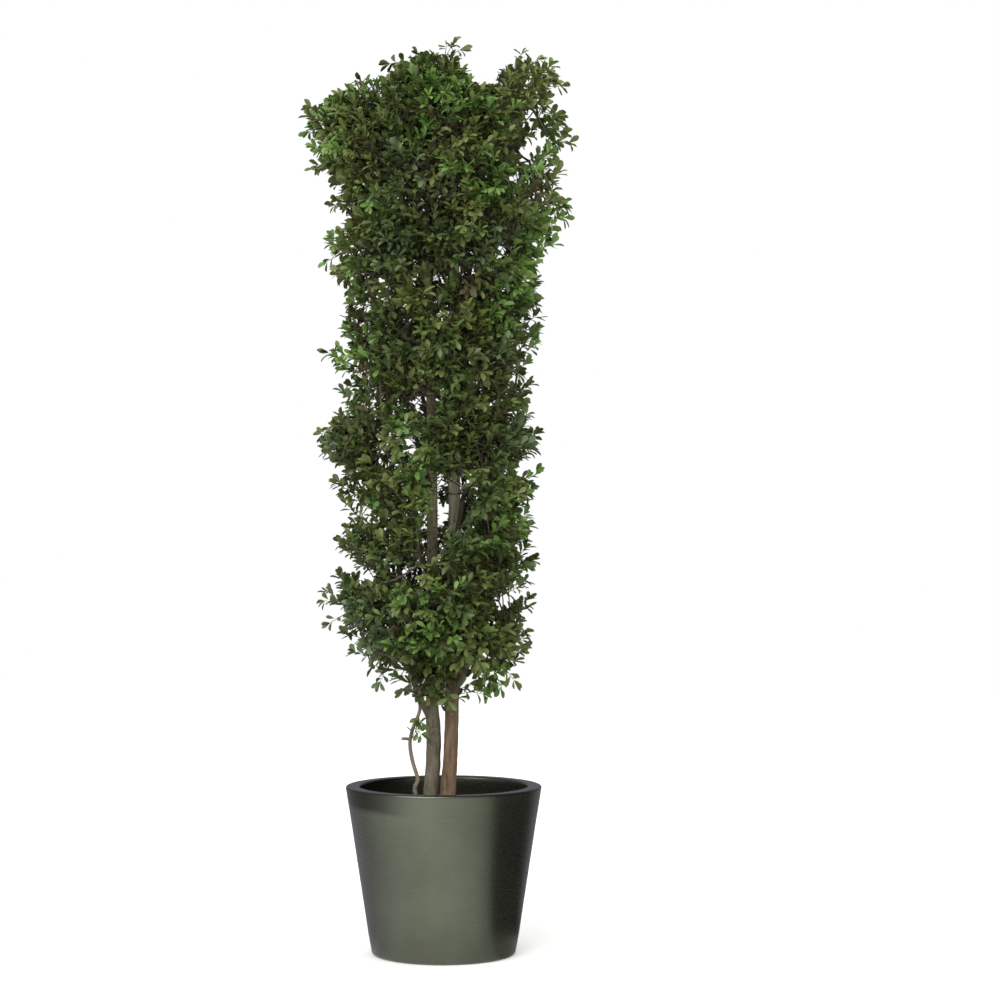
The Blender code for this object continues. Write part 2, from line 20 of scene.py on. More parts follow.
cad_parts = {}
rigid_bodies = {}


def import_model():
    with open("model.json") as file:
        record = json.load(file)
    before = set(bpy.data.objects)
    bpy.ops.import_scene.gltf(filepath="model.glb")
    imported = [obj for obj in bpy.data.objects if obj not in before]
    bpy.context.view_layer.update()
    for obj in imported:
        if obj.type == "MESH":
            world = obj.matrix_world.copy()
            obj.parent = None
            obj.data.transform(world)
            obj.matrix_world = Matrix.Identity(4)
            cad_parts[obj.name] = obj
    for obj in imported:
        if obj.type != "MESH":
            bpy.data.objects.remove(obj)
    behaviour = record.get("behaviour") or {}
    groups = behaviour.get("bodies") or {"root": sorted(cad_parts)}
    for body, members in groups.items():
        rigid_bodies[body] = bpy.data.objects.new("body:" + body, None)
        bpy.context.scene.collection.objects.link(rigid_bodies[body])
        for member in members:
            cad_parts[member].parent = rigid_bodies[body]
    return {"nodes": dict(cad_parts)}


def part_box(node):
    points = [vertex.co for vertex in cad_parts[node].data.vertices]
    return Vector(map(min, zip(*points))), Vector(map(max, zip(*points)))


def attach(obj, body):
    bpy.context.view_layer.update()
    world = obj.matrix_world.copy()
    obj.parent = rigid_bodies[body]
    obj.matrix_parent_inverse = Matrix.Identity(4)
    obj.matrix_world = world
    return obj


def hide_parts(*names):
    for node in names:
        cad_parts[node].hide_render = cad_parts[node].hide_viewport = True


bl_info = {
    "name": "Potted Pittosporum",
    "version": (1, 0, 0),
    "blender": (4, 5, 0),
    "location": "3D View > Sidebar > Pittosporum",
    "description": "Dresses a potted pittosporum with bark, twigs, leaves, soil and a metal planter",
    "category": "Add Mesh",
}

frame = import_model()

# Planter and soil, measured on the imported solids
PLANTER_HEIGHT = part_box("planter")[1][2]
PLANTER_TOP_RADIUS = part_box("planter")[1][0]
PLANTER_BASE_RADIUS = 0.186
LIP_WIDTH = 0.036
LIP_DEPTH = 0.028
LIP_ROUNDING = 0.005
BASE_ROUNDING = 0.009
WALL = 0.012
SOIL_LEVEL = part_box("soil_fill")[1][2]
SOIL_EDGE_DROP = 0.006
SEAT_GAP = 0.0003

# Stations along each stem: x, y, height above the soil, radius
RIGHT_STEM = (
    (0.010, -0.004, 0.000, 0.0240),
    (0.010, -0.004, 0.030, 0.0205),
    (0.018, -0.006, 0.155, 0.0180),
    (0.022, -0.006, 0.320, 0.0180),
    (0.028, -0.004, 0.770, 0.0158),
    (0.020, 0.000, 1.100, 0.0140),
    (0.030, 0.002, 1.420, 0.0110),
    (0.018, 0.000, 1.700, 0.0080),
)
LEFT_STEM = (
    (-0.034, 0.010, 0.000, 0.0225),
    (-0.034, 0.010, 0.030, 0.0196),
    (-0.026, 0.010, 0.155, 0.0192),
    (-0.030, 0.012, 0.260, 0.0172),
    (-0.030, 0.012, 0.320, 0.0156),
    (-0.030, 0.010, 0.690, 0.0145),
    (-0.033, 0.008, 1.030, 0.0125),
    (-0.040, 0.006, 1.350, 0.0098),
    (-0.078, 0.004, 1.600, 0.0072),
)
SUCKER = (
    (-0.066, -0.026, 0.000, 0.0066),
    (-0.066, -0.026, 0.018, 0.0062),
    (-0.074, -0.028, 0.056, 0.0060),
    (-0.066, -0.030, 0.080, 0.0052),
    (-0.078, -0.032, 0.122, 0.0052),
    (-0.086, -0.034, 0.170, 0.0048),
    (-0.079, -0.036, 0.209, 0.0046),
    (-0.062, -0.038, 0.252, 0.0044),
    (-0.060, -0.040, 0.276, 0.0040),
)
SUCKER_STUB = ((-0.085, -0.034, 0.5515), (-0.096, -0.037, 0.5530), (-0.107, -0.040, 0.5535))
SUCKER_STUB_RADII = (0.0044, 0.0038, 0.0034)
SUCKER_SPRIGS = (
    ((-0.083, -0.036, 0.548), (-0.066, -0.048, 0.586)),
    ((-0.080, -0.036, 0.590), (-0.058, -0.050, 0.566)),
    ((-0.066, -0.038, 0.612), (-0.058, -0.054, 0.598)),
)
STEPS_PER_STATION = 2

# The crown: heights, and how far it reaches there to the left, right, front and back
CROWN = (
    (0.632, 0.105, 0.070, 0.110, 0.070),
    (0.685, 0.165, 0.165, 0.150, 0.150),
    (0.755, 0.255, 0.220, 0.230, 0.230),
    (0.900, 0.332, 0.252, 0.277, 0.270),
    (1.000, 0.296, 0.244, 0.262, 0.276),
    (1.120, 0.264, 0.252, 0.254, 0.280),
    (1.310, 0.346, 0.262, 0.286, 0.264),
    (1.410, 0.276, 0.252, 0.266, 0.266),
    (1.560, 0.318, 0.268, 0.274, 0.294),
    (1.680, 0.272, 0.272, 0.264, 0.274),
    (1.760, 0.322, 0.268, 0.300, 0.268),
    (1.900, 0.298, 0.344, 0.292, 0.288),
    (2.060, 0.364, 0.348, 0.288, 0.308),
    (2.190, 0.368, 0.340, 0.276, 0.298),
    (2.280, 0.230, 0.322, 0.212, 0.222),
    (2.330, 0.112, 0.286, 0.122, 0.132),
    (2.358, 0.040, 0.110, 0.050, 0.050),
)
GRADIENT_STEP = 0.010

# Openings through the crown, as the camera sees them: x, z, half width, half height
SKY_GAPS = (
    (0.106, 2.346, 0.070, 0.120),
    (-0.190, 2.320, 0.080, 0.080),
    (-0.010, 1.211, 0.015, 0.026),
    (-0.005, 1.121, 0.018, 0.028),
    (0.052, 1.200, 0.011, 0.027),
    (-0.061, 1.417, 0.015, 0.023),
    (-0.079, 1.317, 0.018, 0.023),
    (0.140, 0.897, 0.015, 0.023),
    (0.186, 0.912, 0.015, 0.015),
    (0.214, 2.149, 0.016, 0.020),
    (-0.188, 0.959, 0.023, 0.015),
    (-0.242, 0.984, 0.021, 0.015),
    (0.106, 0.773, 0.008, 0.004),
    (0.068, 0.752, 0.006, 0.006),
    (0.044, 0.721, 0.004, 0.006),
    (0.238, 2.098, 0.009, 0.013),
    (0.176, 1.989, 0.015, 0.015),
    (0.222, 1.938, 0.012, 0.014),
    (0.194, 2.059, 0.013, 0.015),
    (0.274, 2.196, 0.009, 0.014),
    (0.292, 2.067, 0.009, 0.010),
    (-0.172, 2.095, 0.005, 0.006),
    (-0.149, 2.059, 0.005, 0.006),
    (-0.100, 2.074, 0.005, 0.006),
    (-0.100, 2.193, 0.005, 0.006),
    (-0.182, 2.165, 0.005, 0.006),
    (-0.314, 2.046, 0.005, 0.006),
    (-0.260, 1.995, 0.005, 0.006),
    (-0.206, 1.801, 0.005, 0.006),
    (-0.190, 1.757, 0.005, 0.006),
    (-0.185, 1.649, 0.005, 0.006),
    (-0.177, 1.567, 0.005, 0.006),
    (-0.180, 1.399, 0.005, 0.006),
    (-0.162, 1.324, 0.005, 0.006),
    (-0.139, 1.294, 0.005, 0.006),
    (-0.159, 1.260, 0.005, 0.006),
    (-0.123, 1.252, 0.005, 0.006),
    (-0.213, 1.206, 0.005, 0.006),
    (-0.242, 1.386, 0.005, 0.006),
    (0.127, 1.572, 0.005, 0.006),
    (0.186, 1.551, 0.005, 0.006),
    (0.070, 1.474, 0.005, 0.006),
    (0.088, 1.459, 0.005, 0.006),
    (0.160, 1.466, 0.005, 0.006),
    (0.158, 1.350, 0.005, 0.006),
    (0.176, 1.634, 0.005, 0.006),
    (0.196, 1.590, 0.005, 0.006),
    (0.153, 1.227, 0.005, 0.006),
    (0.176, 1.239, 0.005, 0.006),
    (-0.056, 1.077, 0.005, 0.006),
    (0.189, 1.134, 0.005, 0.006),
    (0.086, 1.085, 0.005, 0.006),
    (0.235, 1.082, 0.005, 0.006),
    (-0.082, 0.977, 0.005, 0.006),
    (-0.115, 0.953, 0.005, 0.006),
    (-0.141, 1.000, 0.005, 0.006),
    (0.243, 0.894, 0.005, 0.006),
    (0.225, 1.031, 0.005, 0.006),
    (0.194, 1.028, 0.005, 0.006),
    (0.106, 0.837, 0.005, 0.006),
    (-0.157, 0.868, 0.005, 0.006),
    (-0.110, 0.858, 0.005, 0.006),
    (-0.188, 0.822, 0.005, 0.006),
    (-0.115, 0.755, 0.005, 0.006),
    (0.181, 0.714, 0.005, 0.006),
    (-0.262, 0.917, 0.005, 0.006),
    (-0.237, 1.564, 0.005, 0.006),
    (-0.242, 1.474, 0.005, 0.006),
    (-0.252, 1.242, 0.005, 0.006),
    (-0.286, 1.809, 0.005, 0.006),
    (-0.249, 1.881, 0.005, 0.006),
    (-0.324, 2.105, 0.005, 0.006),
    (0.068, 1.778, 0.005, 0.006),
    (0.140, 1.809, 0.005, 0.006),
    (0.153, 1.701, 0.005, 0.006),
)
GAP_MARGIN = 0.010
BARE_MARGIN = 0.016

# Where no shoot hides a stem from the front
BARE_PLACES = (
    (0.030, 1.140, 0.013, 0.056),
    (-0.028, 1.045, 0.010, 0.028),
    (-0.033, 1.405, 0.010, 0.028),
    (0.031, 0.690, 0.003, 0.030),
)

# Masses of foliage, in a rising spiral round the stems, with three at the head
SPIRAL_MASSES = 18
SPIRAL_BOTTOM = 0.780
SPIRAL_TOP = 2.050
FIRST_TURN = math.radians(200)
MASS_DISTANCE = 0.56
HEAD_MASSES = (
    ("head", (0.010, 0.000, 2.225), (0.05, 0.0, 1.0)),
    ("head_left", (-0.215, 0.010, 2.120), (-0.65, 0.0, 0.75)),
    ("head_right", (0.235, -0.010, 2.195), (0.5, 0.0, 0.85)),
)
LOW_MASS_OFFSET = (-0.020, -0.020, 0.024)
LOW_MASS_HEADING = (-0.80, -0.45, 0.25)

# Boughs, which leave a stem and rise to the mass that they carry
BOUGH_REACH = 0.088
BOUGH_DROP = 0.060
BOUGH_RISE = 0.130
BOUGH_SHARE = 0.56
BOUGH_TAPER = 0.68
BOUGH_KNEE = 0.62
BOUGH_KNEE_DROP = 0.021
LIMB_STATIONS = 7
STEM_BEYOND = 0.040
STEM_TAPER = 0.60
HIGHEST_BOUGH_ROOT = 0.050

# Twigs to points spread evenly over the crown's surface, as on the solids, then finer ones
TWIGS = 112
TWIG_STATIONS = 7
TWIG_RADIUS = 0.0034
TWIG_TIP_RADIUS = 0.0018
TWIG_SAG = 0.016
TWIG_INSET = 0.068
TWIG_SHIFTS = (0.0, 0.025, 0.050)
RING_SLICES = 8
GOLDEN_ANGLE = math.pi * (3 - math.sqrt(5))
LIMB_GAP = 0.003
CELL_GAP = 0.0045
FINE_TWIG_DEPTHS = (0.086, 0.122, 0.096, 0.166, 0.090, 0.136, 0.104, 0.205)
FINE_TWIG_RADIUS = 0.0019
FINE_TWIG_TIP_RADIUS = 0.0011
FINE_TWIG_LONGEST = 0.190
FINE_TWIG_SHORTEST = 0.022
SHOOT_RADIUS = 0.0011
SHOOT_TIP_RADIUS = 0.0006
SHOOT_LENGTHS = (0.052, 0.084)
SIDE_SHOOTS = 2
SIDE_SHOOT_SHARE = 0.78
SIDE_SHOOT_SPLAY = (30, 62)
SHOOT_CLEARANCE = 0.014  # from a shoot to the stems
LEAF_MARGIN = 0.016  # from a shoot's tip to the crown's surface
TOP_MARGIN = 0.058
HOLLOWS_TO_METRE = 9.0
HOLLOW_DEPTH = 0.060

# Long leading shoots that stand out of the crown: x, y, z of each tip
LEADERS = (
    (0.020, -0.010, 2.338),
    (-0.004, 0.004, 2.318),
    (-0.066, -0.004, 2.312),
    (-0.138, -0.010, 2.290),
    (-0.213, -0.010, 2.246),
    (0.041, 0.000, 2.328),
    (0.006, -0.016, 2.334),
    (0.199, -0.006, 2.312),
    (0.244, -0.012, 2.300),
    (0.272, 0.000, 2.284),
    (0.300, -0.020, 2.230),
    (-0.340, -0.010, 2.172),
    (-0.345, 0.000, 2.118),
    (-0.330, -0.020, 2.020),
    (-0.300, -0.010, 1.780),
    (-0.298, 0.010, 1.545),
    (-0.312, -0.010, 1.336),
    (-0.306, 0.000, 0.905),
    (-0.290, -0.030, 0.850),
    (-0.160, -0.060, 0.702),
    (0.180, -0.030, 0.702),
    (0.145, -0.020, 0.682),
    (0.100, -0.040, 0.668),
    (0.072, -0.030, 0.690),
    (0.120, 0.020, 0.700),
    (-0.100, -0.040, 0.680),
    (-0.060, -0.060, 0.664),
)
LEADER_REACH = 0.200

# Where the crown is thin, as the camera sees it: x, z, half width, half height, share kept
THIN_PLACES = (
    (0.285, 2.090, 0.090, 0.240, 0.50),
    (0.200, 2.110, 0.060, 0.160, 0.66),
    (0.260, 2.270, 0.110, 0.080, 0.48),
    (0.120, 2.270, 0.070, 0.080, 0.55),
    (-0.230, 2.200, 0.120, 0.070, 0.66),
    (0.000, 2.290, 0.100, 0.050, 0.66),
    (-0.300, 0.930, 0.080, 0.120, 0.60),
    (-0.230, 0.720, 0.120, 0.060, 0.60),
    (0.190, 1.460, 0.070, 0.160, 0.65),
    (-0.250, 1.400, 0.110, 0.060, 0.62),
    (-0.235, 1.530, 0.075, 0.085, 0.42),
    (-0.120, 1.000, 0.120, 0.060, 0.80),
    (0.150, 0.950, 0.100, 0.070, 0.60),
)

# Tints of leaf, dealt out by spray, and where the fresh and the dull ones lie
FRESH_PLACES = (
    (0.222, 1.873, 0.085, 0.090),
    (-0.018, 2.160, 0.045, 0.050),
    (0.090, 1.985, 0.035, 0.045),
    (-0.293, 2.067, 0.050, 0.060),
    (-0.168, 1.613, 0.040, 0.040),
    (-0.221, 1.505, 0.060, 0.070),
    (-0.045, 1.568, 0.020, 0.020),
    (0.165, 1.737, 0.040, 0.050),
    (0.150, 1.120, 0.030, 0.050),
    (-0.190, 1.170, 0.040, 0.040),
    (0.082, 1.047, 0.025, 0.030),
    (-0.262, 0.956, 0.030, 0.040),
    (0.005, 0.785, 0.034, 0.045),
)
DULL_PLACES = (
    (-0.190, 0.860, 0.120, 0.110),
    (0.067, 2.080, 0.060, 0.050),
    (-0.270, 1.240, 0.060, 0.070),
    (-0.060, 1.950, 0.100, 0.080),
    (0.180, 1.330, 0.060, 0.080),
)
OLIVE_PLACES = (
    (0.250, 2.100, 0.100, 0.220),
    (0.020, 2.100, 0.120, 0.130),
    (-0.270, 2.100, 0.090, 0.100),
)
DEEP_PLACES = (
    (-0.020, 0.840, 0.120, 0.070),
    (0.020, 1.320, 0.130, 0.110),
    (0.110, 1.080, 0.070, 0.080),
    (-0.160, 1.150, 0.060, 0.070),
)
# More of the deep tint low in the crown than high up: painted shade under the upper crown.
DEEP_SHARES = (0.80, 0.20)  # of plain leaves that are of the deep tint, low and high in the crown
TINT_CLUMP = 7.0  # clumps of one tint to the metre, where no place is named
DEEP_SHADE = 0.110  # leaves further in than this are old and brownish
OLD_TOP = 2.150  # and none are above this height

# Stage
# Bark colours higher up the stems, inside the crown: their own reddish and grey hues, lightened as painted light
# against the crown's shade.
UPPER_RED_PAINTED_LIGHT = (0.460, 0.410, 0.280)
UPPER_GREY_PAINTED_LIGHT = (0.500, 0.490, 0.370)
LIP_COLOUR = (0.062, 0.056, 0.049)
CAMERA_X = 0.1448
CAMERA_DISTANCE = 6.16
CAMERA_HEIGHT = 1.108
CAMERA_TILT = math.atan(22.5 / 2390)
SENSOR = 36.0
# What the metal reflects low down, from the floor at its foot, and how far that reaches from the middle
FOOT_TONE = (0.27, 0.26, 0.24)
FOOT_REACH = (0.27, 0.37)
# What it reflects above: degrees from the front towards the plant's right, and colour
REFLECTED_TONES = (
    (-180, (0.34, 0.32, 0.38)),
    (-140, (0.30, 0.28, 0.34)),
    (-105, (0.36, 0.34, 0.39)),
    (-78, (0.56, 0.56, 0.58)),
    (-45, (0.80, 0.80, 0.80)),
    (-14, (0.89, 0.88, 0.83)),
    (6, (0.80, 0.81, 0.79)),
    (35, (0.64, 0.66, 0.64)),
    (52, (0.44, 0.45, 0.42)),
    (64, (0.02, 0.02, 0.01)),
    (112, (0.02, 0.02, 0.02)),
    (146, (0.26, 0.24, 0.28)),
    (180, (0.34, 0.32, 0.38)),
)

MASS_NAMES = [f"{k + 1:02d}" for k in range(SPIRAL_MASSES)]
MASS_NAMES += [name for name, _, _ in HEAD_MASSES] + ["low"]
FOLIAGE_NODES = ["foliage_" + name for name in MASS_NAMES]
BOUGH_NODES = sorted(name for name in frame["nodes"] if name.startswith("bough_"))
LEAF_TINTS = ("deep", "middle", "olive", "fresh", "bright", "dull", "old")


# Settings


class PlanterLooks(bpy.types.PropertyGroup):
    metal: FloatVectorProperty(
        name="Metal",
        description="Colour of the planter's satin metal finish",
        subtype="COLOR",
        default=(0.170, 0.185, 0.140),
        min=0,
        max=1,
    )
    roughness: FloatProperty(
        name="Roughness",
        description="How softly the metal reflects",
        default=0.27,
        min=0,
        max=1,
        subtype="FACTOR",
    )
    steps: IntProperty(
        name="Steps",
        description="Faces round the planter",
        default=160,
        min=32,
        max=256,
    )


class SoilLooks(bpy.types.PropertyGroup):
    colour: FloatVectorProperty(
        name="Soil",
        description="Colour of the potting soil",
        subtype="COLOR",
        default=(0.030, 0.022, 0.016),
        min=0,
        max=1,
    )
    crumb_size: FloatProperty(
        name="Crumb Size",
        description="Length of the largest bark crumbs on the soil",
        unit="LENGTH",
        default=0.016,
        min=0.002,
        max=0.05,
    )
    crumb_density: FloatProperty(
        name="Crumb Density",
        description="Crumbs on each square metre of soil",
        default=9000,
        min=0,
        max=40000,
    )


class BarkLooks(bpy.types.PropertyGroup):
    grey: FloatVectorProperty(
        name="Grey Bark",
        description="Colour of the grey bark",
        subtype="COLOR",
        default=(0.150, 0.130, 0.100),
        min=0,
        max=1,
    )
    red: FloatVectorProperty(
        name="Reddish Bark",
        description="Colour of the reddish bark",
        subtype="COLOR",
        default=(0.148, 0.098, 0.063),
        min=0,
        max=1,
    )
    relief: FloatProperty(
        name="Relief",
        description="Depth of the bark's ridges on a stem of 20 mm radius",
        unit="LENGTH",
        default=0.0038,
        min=0,
        max=0.01,
    )
    ring_spacing: FloatProperty(
        name="Ring Spacing",
        description="Distance between the rings of faces along a stem",
        unit="LENGTH",
        default=0.005,
        min=0.001,
        max=0.05,
    )


class FoliageLooks(bpy.types.PropertyGroup):
    fine_twigs: IntProperty(
        name="Fine Twigs",
        description="Fine twigs tried over the whole crown",
        default=2000,
        min=100,
        max=5000,
    )
    leaf_length: FloatProperty(
        name="Leaf Length",
        description="Length of a full-grown leaf",
        unit="LENGTH",
        default=0.0345,
        min=0.01,
        max=0.1,
    )
    leaf_width: FloatProperty(
        name="Leaf Width",
        description="Width of a full-grown leaf",
        unit="LENGTH",
        default=0.0152,
        min=0.005,
        max=0.05,
    )
    leaf_spacing: FloatProperty(
        name="Leaf Spacing",
        description="Distance along a shoot from one leaf to the next",
        unit="LENGTH",
        default=0.0080,
        min=0.003,
        max=0.05,
    )
    tip_leaves: IntProperty(
        name="Tip Leaves",
        description="Leaves in the whorl at the tip of each shoot",
        default=3,
        min=0,
        max=8,
    )
    seed: IntProperty(
        name="Seed",
        description="Seed of everything random in the crown",
        default=11,
        min=0,
    )


class StageLooks(bpy.types.PropertyGroup):
    floor: FloatVectorProperty(
        name="Floor",
        description="Colour of the studio floor",
        subtype="COLOR",
        default=(0.80, 0.80, 0.79),
        min=0,
        max=1,
    )
    backdrop: FloatVectorProperty(
        name="Backdrop",
        description="Colour behind the object",
        subtype="COLOR",
        default=(1.0, 1.0, 1.0),
        min=0,
        max=1,
    )
    fill: FloatProperty(
        name="Fill",
        description="Strength of the soft light from all round",
        default=0.85,
        min=0,
        max=10,
    )
    key: FloatProperty(
        name="Key",
        description="Strength of the soft light from the front left",
        default=2.4,
        min=0,
        max=50,
    )
    lens: FloatProperty(
        name="Lens",
        description="Focal length of the camera, in millimetres",
        default=86,
        min=10,
        max=500,
    )


LOOKS = {
    "pittosporum_planter": PlanterLooks,
    "pittosporum_soil": SoilLooks,
    "pittosporum_bark": BarkLooks,
    "pittosporum_foliage": FoliageLooks,
    "pittosporum_stage": StageLooks,
}


# Building node trees


def add_node(tree, kind, inputs=None, **settings):
    """Adds a node, sets it up, and sets or links its inputs, given by name or number."""
    node = tree.nodes.new(kind)
    for name, value in settings.items():
        setattr(node, name, value)
    for key, value in (inputs or {}).items():
        if isinstance(value, bpy.types.NodeSocket):
            tree.links.new(value, node.inputs[key])
        else:
            node.inputs[key].default_value = value
    return node


def calculate(tree, operation, *values):
    """The output of a Math node."""
    return add_node(tree, "ShaderNodeMath", dict(enumerate(values)), operation=operation).outputs[0]


def scale_vector(tree, vector, factor):
    inputs = {0: vector, "Scale": factor}
    return add_node(tree, "ShaderNodeVectorMath", inputs, operation="SCALE").outputs[0]


def new_group(name, kind, inputs, outputs):
    """A node tree with the named sockets. Each is (name, socket type, default or None)."""
    tree = bpy.data.node_groups.new(name, kind)
    for in_out, sockets in (("INPUT", inputs), ("OUTPUT", outputs)):
        for label, socket_type, default in sockets:
            made = tree.interface.new_socket(label, in_out=in_out, socket_type=socket_type)
            if default is not None:
                made.default_value = default
    start = tree.nodes.new("NodeGroupInput")
    end = tree.nodes.new("NodeGroupOutput")
    return tree, start.outputs, end.inputs


def attribute(tree, name, data_type="FLOAT"):
    node = add_node(tree, "GeometryNodeInputNamedAttribute", {"Name": name}, data_type=data_type)
    return node.outputs["Attribute"]


def run_nodes(obj, tree, values):
    """Runs a Geometry Nodes tree on an object, and leaves it the plain mesh that comes out."""
    modifier = obj.modifiers.new(tree.name, "NODES")
    modifier.node_group = tree
    sockets = {item.name: item.identifier for item in tree.interface.items_tree if item.in_out == "INPUT"}
    for name, value in values.items():
        modifier[sockets[name]] = value
    graph = bpy.context.evaluated_depsgraph_get()
    mesh = bpy.data.meshes.new_from_object(obj.evaluated_get(graph), depsgraph=graph)
    mesh.name = obj.name
    mesh.materials.clear()
    mesh.materials.append(values["Material"])
    obj.modifiers.clear()
    obj.data = mesh
    return obj


def new_object(name, data):
    made = bpy.data.objects.new(name, data)
    bpy.context.scene.collection.objects.link(made)
    return made


def limb_paths(name, limbs):
    """An object of bare edges along limbs, each a list of stations of (position, radius)."""
    mesh = bpy.data.meshes.new(name)
    points, radii, edges, along, headings = [], [], [], [], []
    for stations in limbs:
        first, last = len(points), len(stations) - 1
        for k, (place, radius) in enumerate(stations):
            before = stations[max(k - 1, 0)][0]
            after = stations[min(k + 1, last)][0]
            points.append(place)
            radii.append(radius)
            along.append(k / last)
            headings.extend((after - before).normalized())
        edges += [(first + k, first + k + 1) for k in range(last)]
    mesh.from_pydata(points, edges, [])
    mesh.attributes.new("limb_radius", "FLOAT", "POINT").data.foreach_set("value", radii)
    mesh.attributes.new("along", "FLOAT", "POINT").data.foreach_set("value", along)
    mesh.attributes.new("heading", "FLOAT_VECTOR", "POINT").data.foreach_set("vector", headings)
    return new_object(name, mesh)


def finish_piece(piece, slot, nodes):
    """Makes a piece ride on the plant, in place of the solids that it stands for."""
    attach(piece, "root")
    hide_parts(*nodes)
    return piece


# Geometry Nodes


@functools.cache
def limb_tree():
    """Tubes along limbs, with ridged bark in relief."""
    inputs = (
        ("Geometry", "NodeSocketGeometry", None),
        ("Sides", "NodeSocketInt", 8),
        ("Ring Spacing", "NodeSocketFloat", 0.006),
        ("Relief", "NodeSocketFloat", 0.1),
        ("Ridges", "NodeSocketFloat", 130.0),
        ("Stretch", "NodeSocketFloat", 0.16),
        ("Knots", "NodeSocketFloat", 0.1),
        ("Seed", "NodeSocketFloat", 0.0),
        ("Material", "NodeSocketMaterial", None),
    )
    outputs = (("Geometry", "NodeSocketGeometry", None),)
    tree, given, result = new_group("Limbs with Bark Relief", "GeometryNodeTree", inputs, outputs)
    radius = attribute(tree, "limb_radius")
    curve = add_node(tree, "GeometryNodeMeshToCurve", {"Mesh": given["Geometry"]})
    rings = add_node(
        tree,
        "GeometryNodeResampleCurve",
        {"Curve": curve.outputs[0], "Length": given["Ring Spacing"]},
        mode="LENGTH",
    )
    circle = add_node(
        tree,
        "GeometryNodeCurvePrimitiveCircle",
        {"Resolution": given["Sides"], "Radius": 1.0},
    )
    tube = add_node(
        tree,
        "GeometryNodeCurveToMesh",
        {
            "Curve": rings.outputs[0],
            "Profile Curve": circle.outputs[0],
            "Scale": radius,
            "Fill Caps": True,
        },
    )
    place = add_node(tree, "GeometryNodeInputPosition").outputs[0]
    squeeze = add_node(tree, "ShaderNodeCombineXYZ", {"X": 1.0, "Y": 1.0, "Z": given["Stretch"]})
    grain = add_node(
        tree, "ShaderNodeVectorMath", {0: place, 1: squeeze.outputs[0]}, operation="MULTIPLY"
    )
    ridges = add_node(
        tree,
        "ShaderNodeTexNoise",
        {"Vector": grain.outputs[0], "W": given["Seed"], "Scale": given["Ridges"], "Detail": 3.0},
        noise_dimensions="4D",
    )
    knots = add_node(
        tree,
        "ShaderNodeTexNoise",
        {"Vector": place, "W": given["Seed"], "Scale": 26.0, "Detail": 1.0},
        noise_dimensions="4D",
    )
    ridge_height = calculate(tree, "SUBTRACT", ridges.outputs[0], 0.5)
    knot_height = calculate(tree, "SUBTRACT", knots.outputs[0], 0.5)
    relief = calculate(
        tree,
        "ADD",
        calculate(tree, "MULTIPLY", ridge_height, given["Relief"]),
        calculate(tree, "MULTIPLY", knot_height, given["Knots"]),
    )
    outward = scale_vector(
        tree,
        add_node(tree, "GeometryNodeInputNormal").outputs[0],
        calculate(tree, "MULTIPLY", relief, radius),
    )
    moved = add_node(tree, "GeometryNodeSetPosition", {"Geometry": tube.outputs[0], "Offset": outward})
    smooth = add_node(tree, "GeometryNodeSetShadeSmooth", {0: moved.outputs[0]})
    real = add_node(tree, "GeometryNodeRealizeInstances", {0: smooth.outputs[0]})
    end = add_node(tree, "GeometryNodeSetMaterial", {0: real.outputs[0], "Material": given["Material"]})
    tree.links.new(end.outputs[0], result["Geometry"])
    return tree


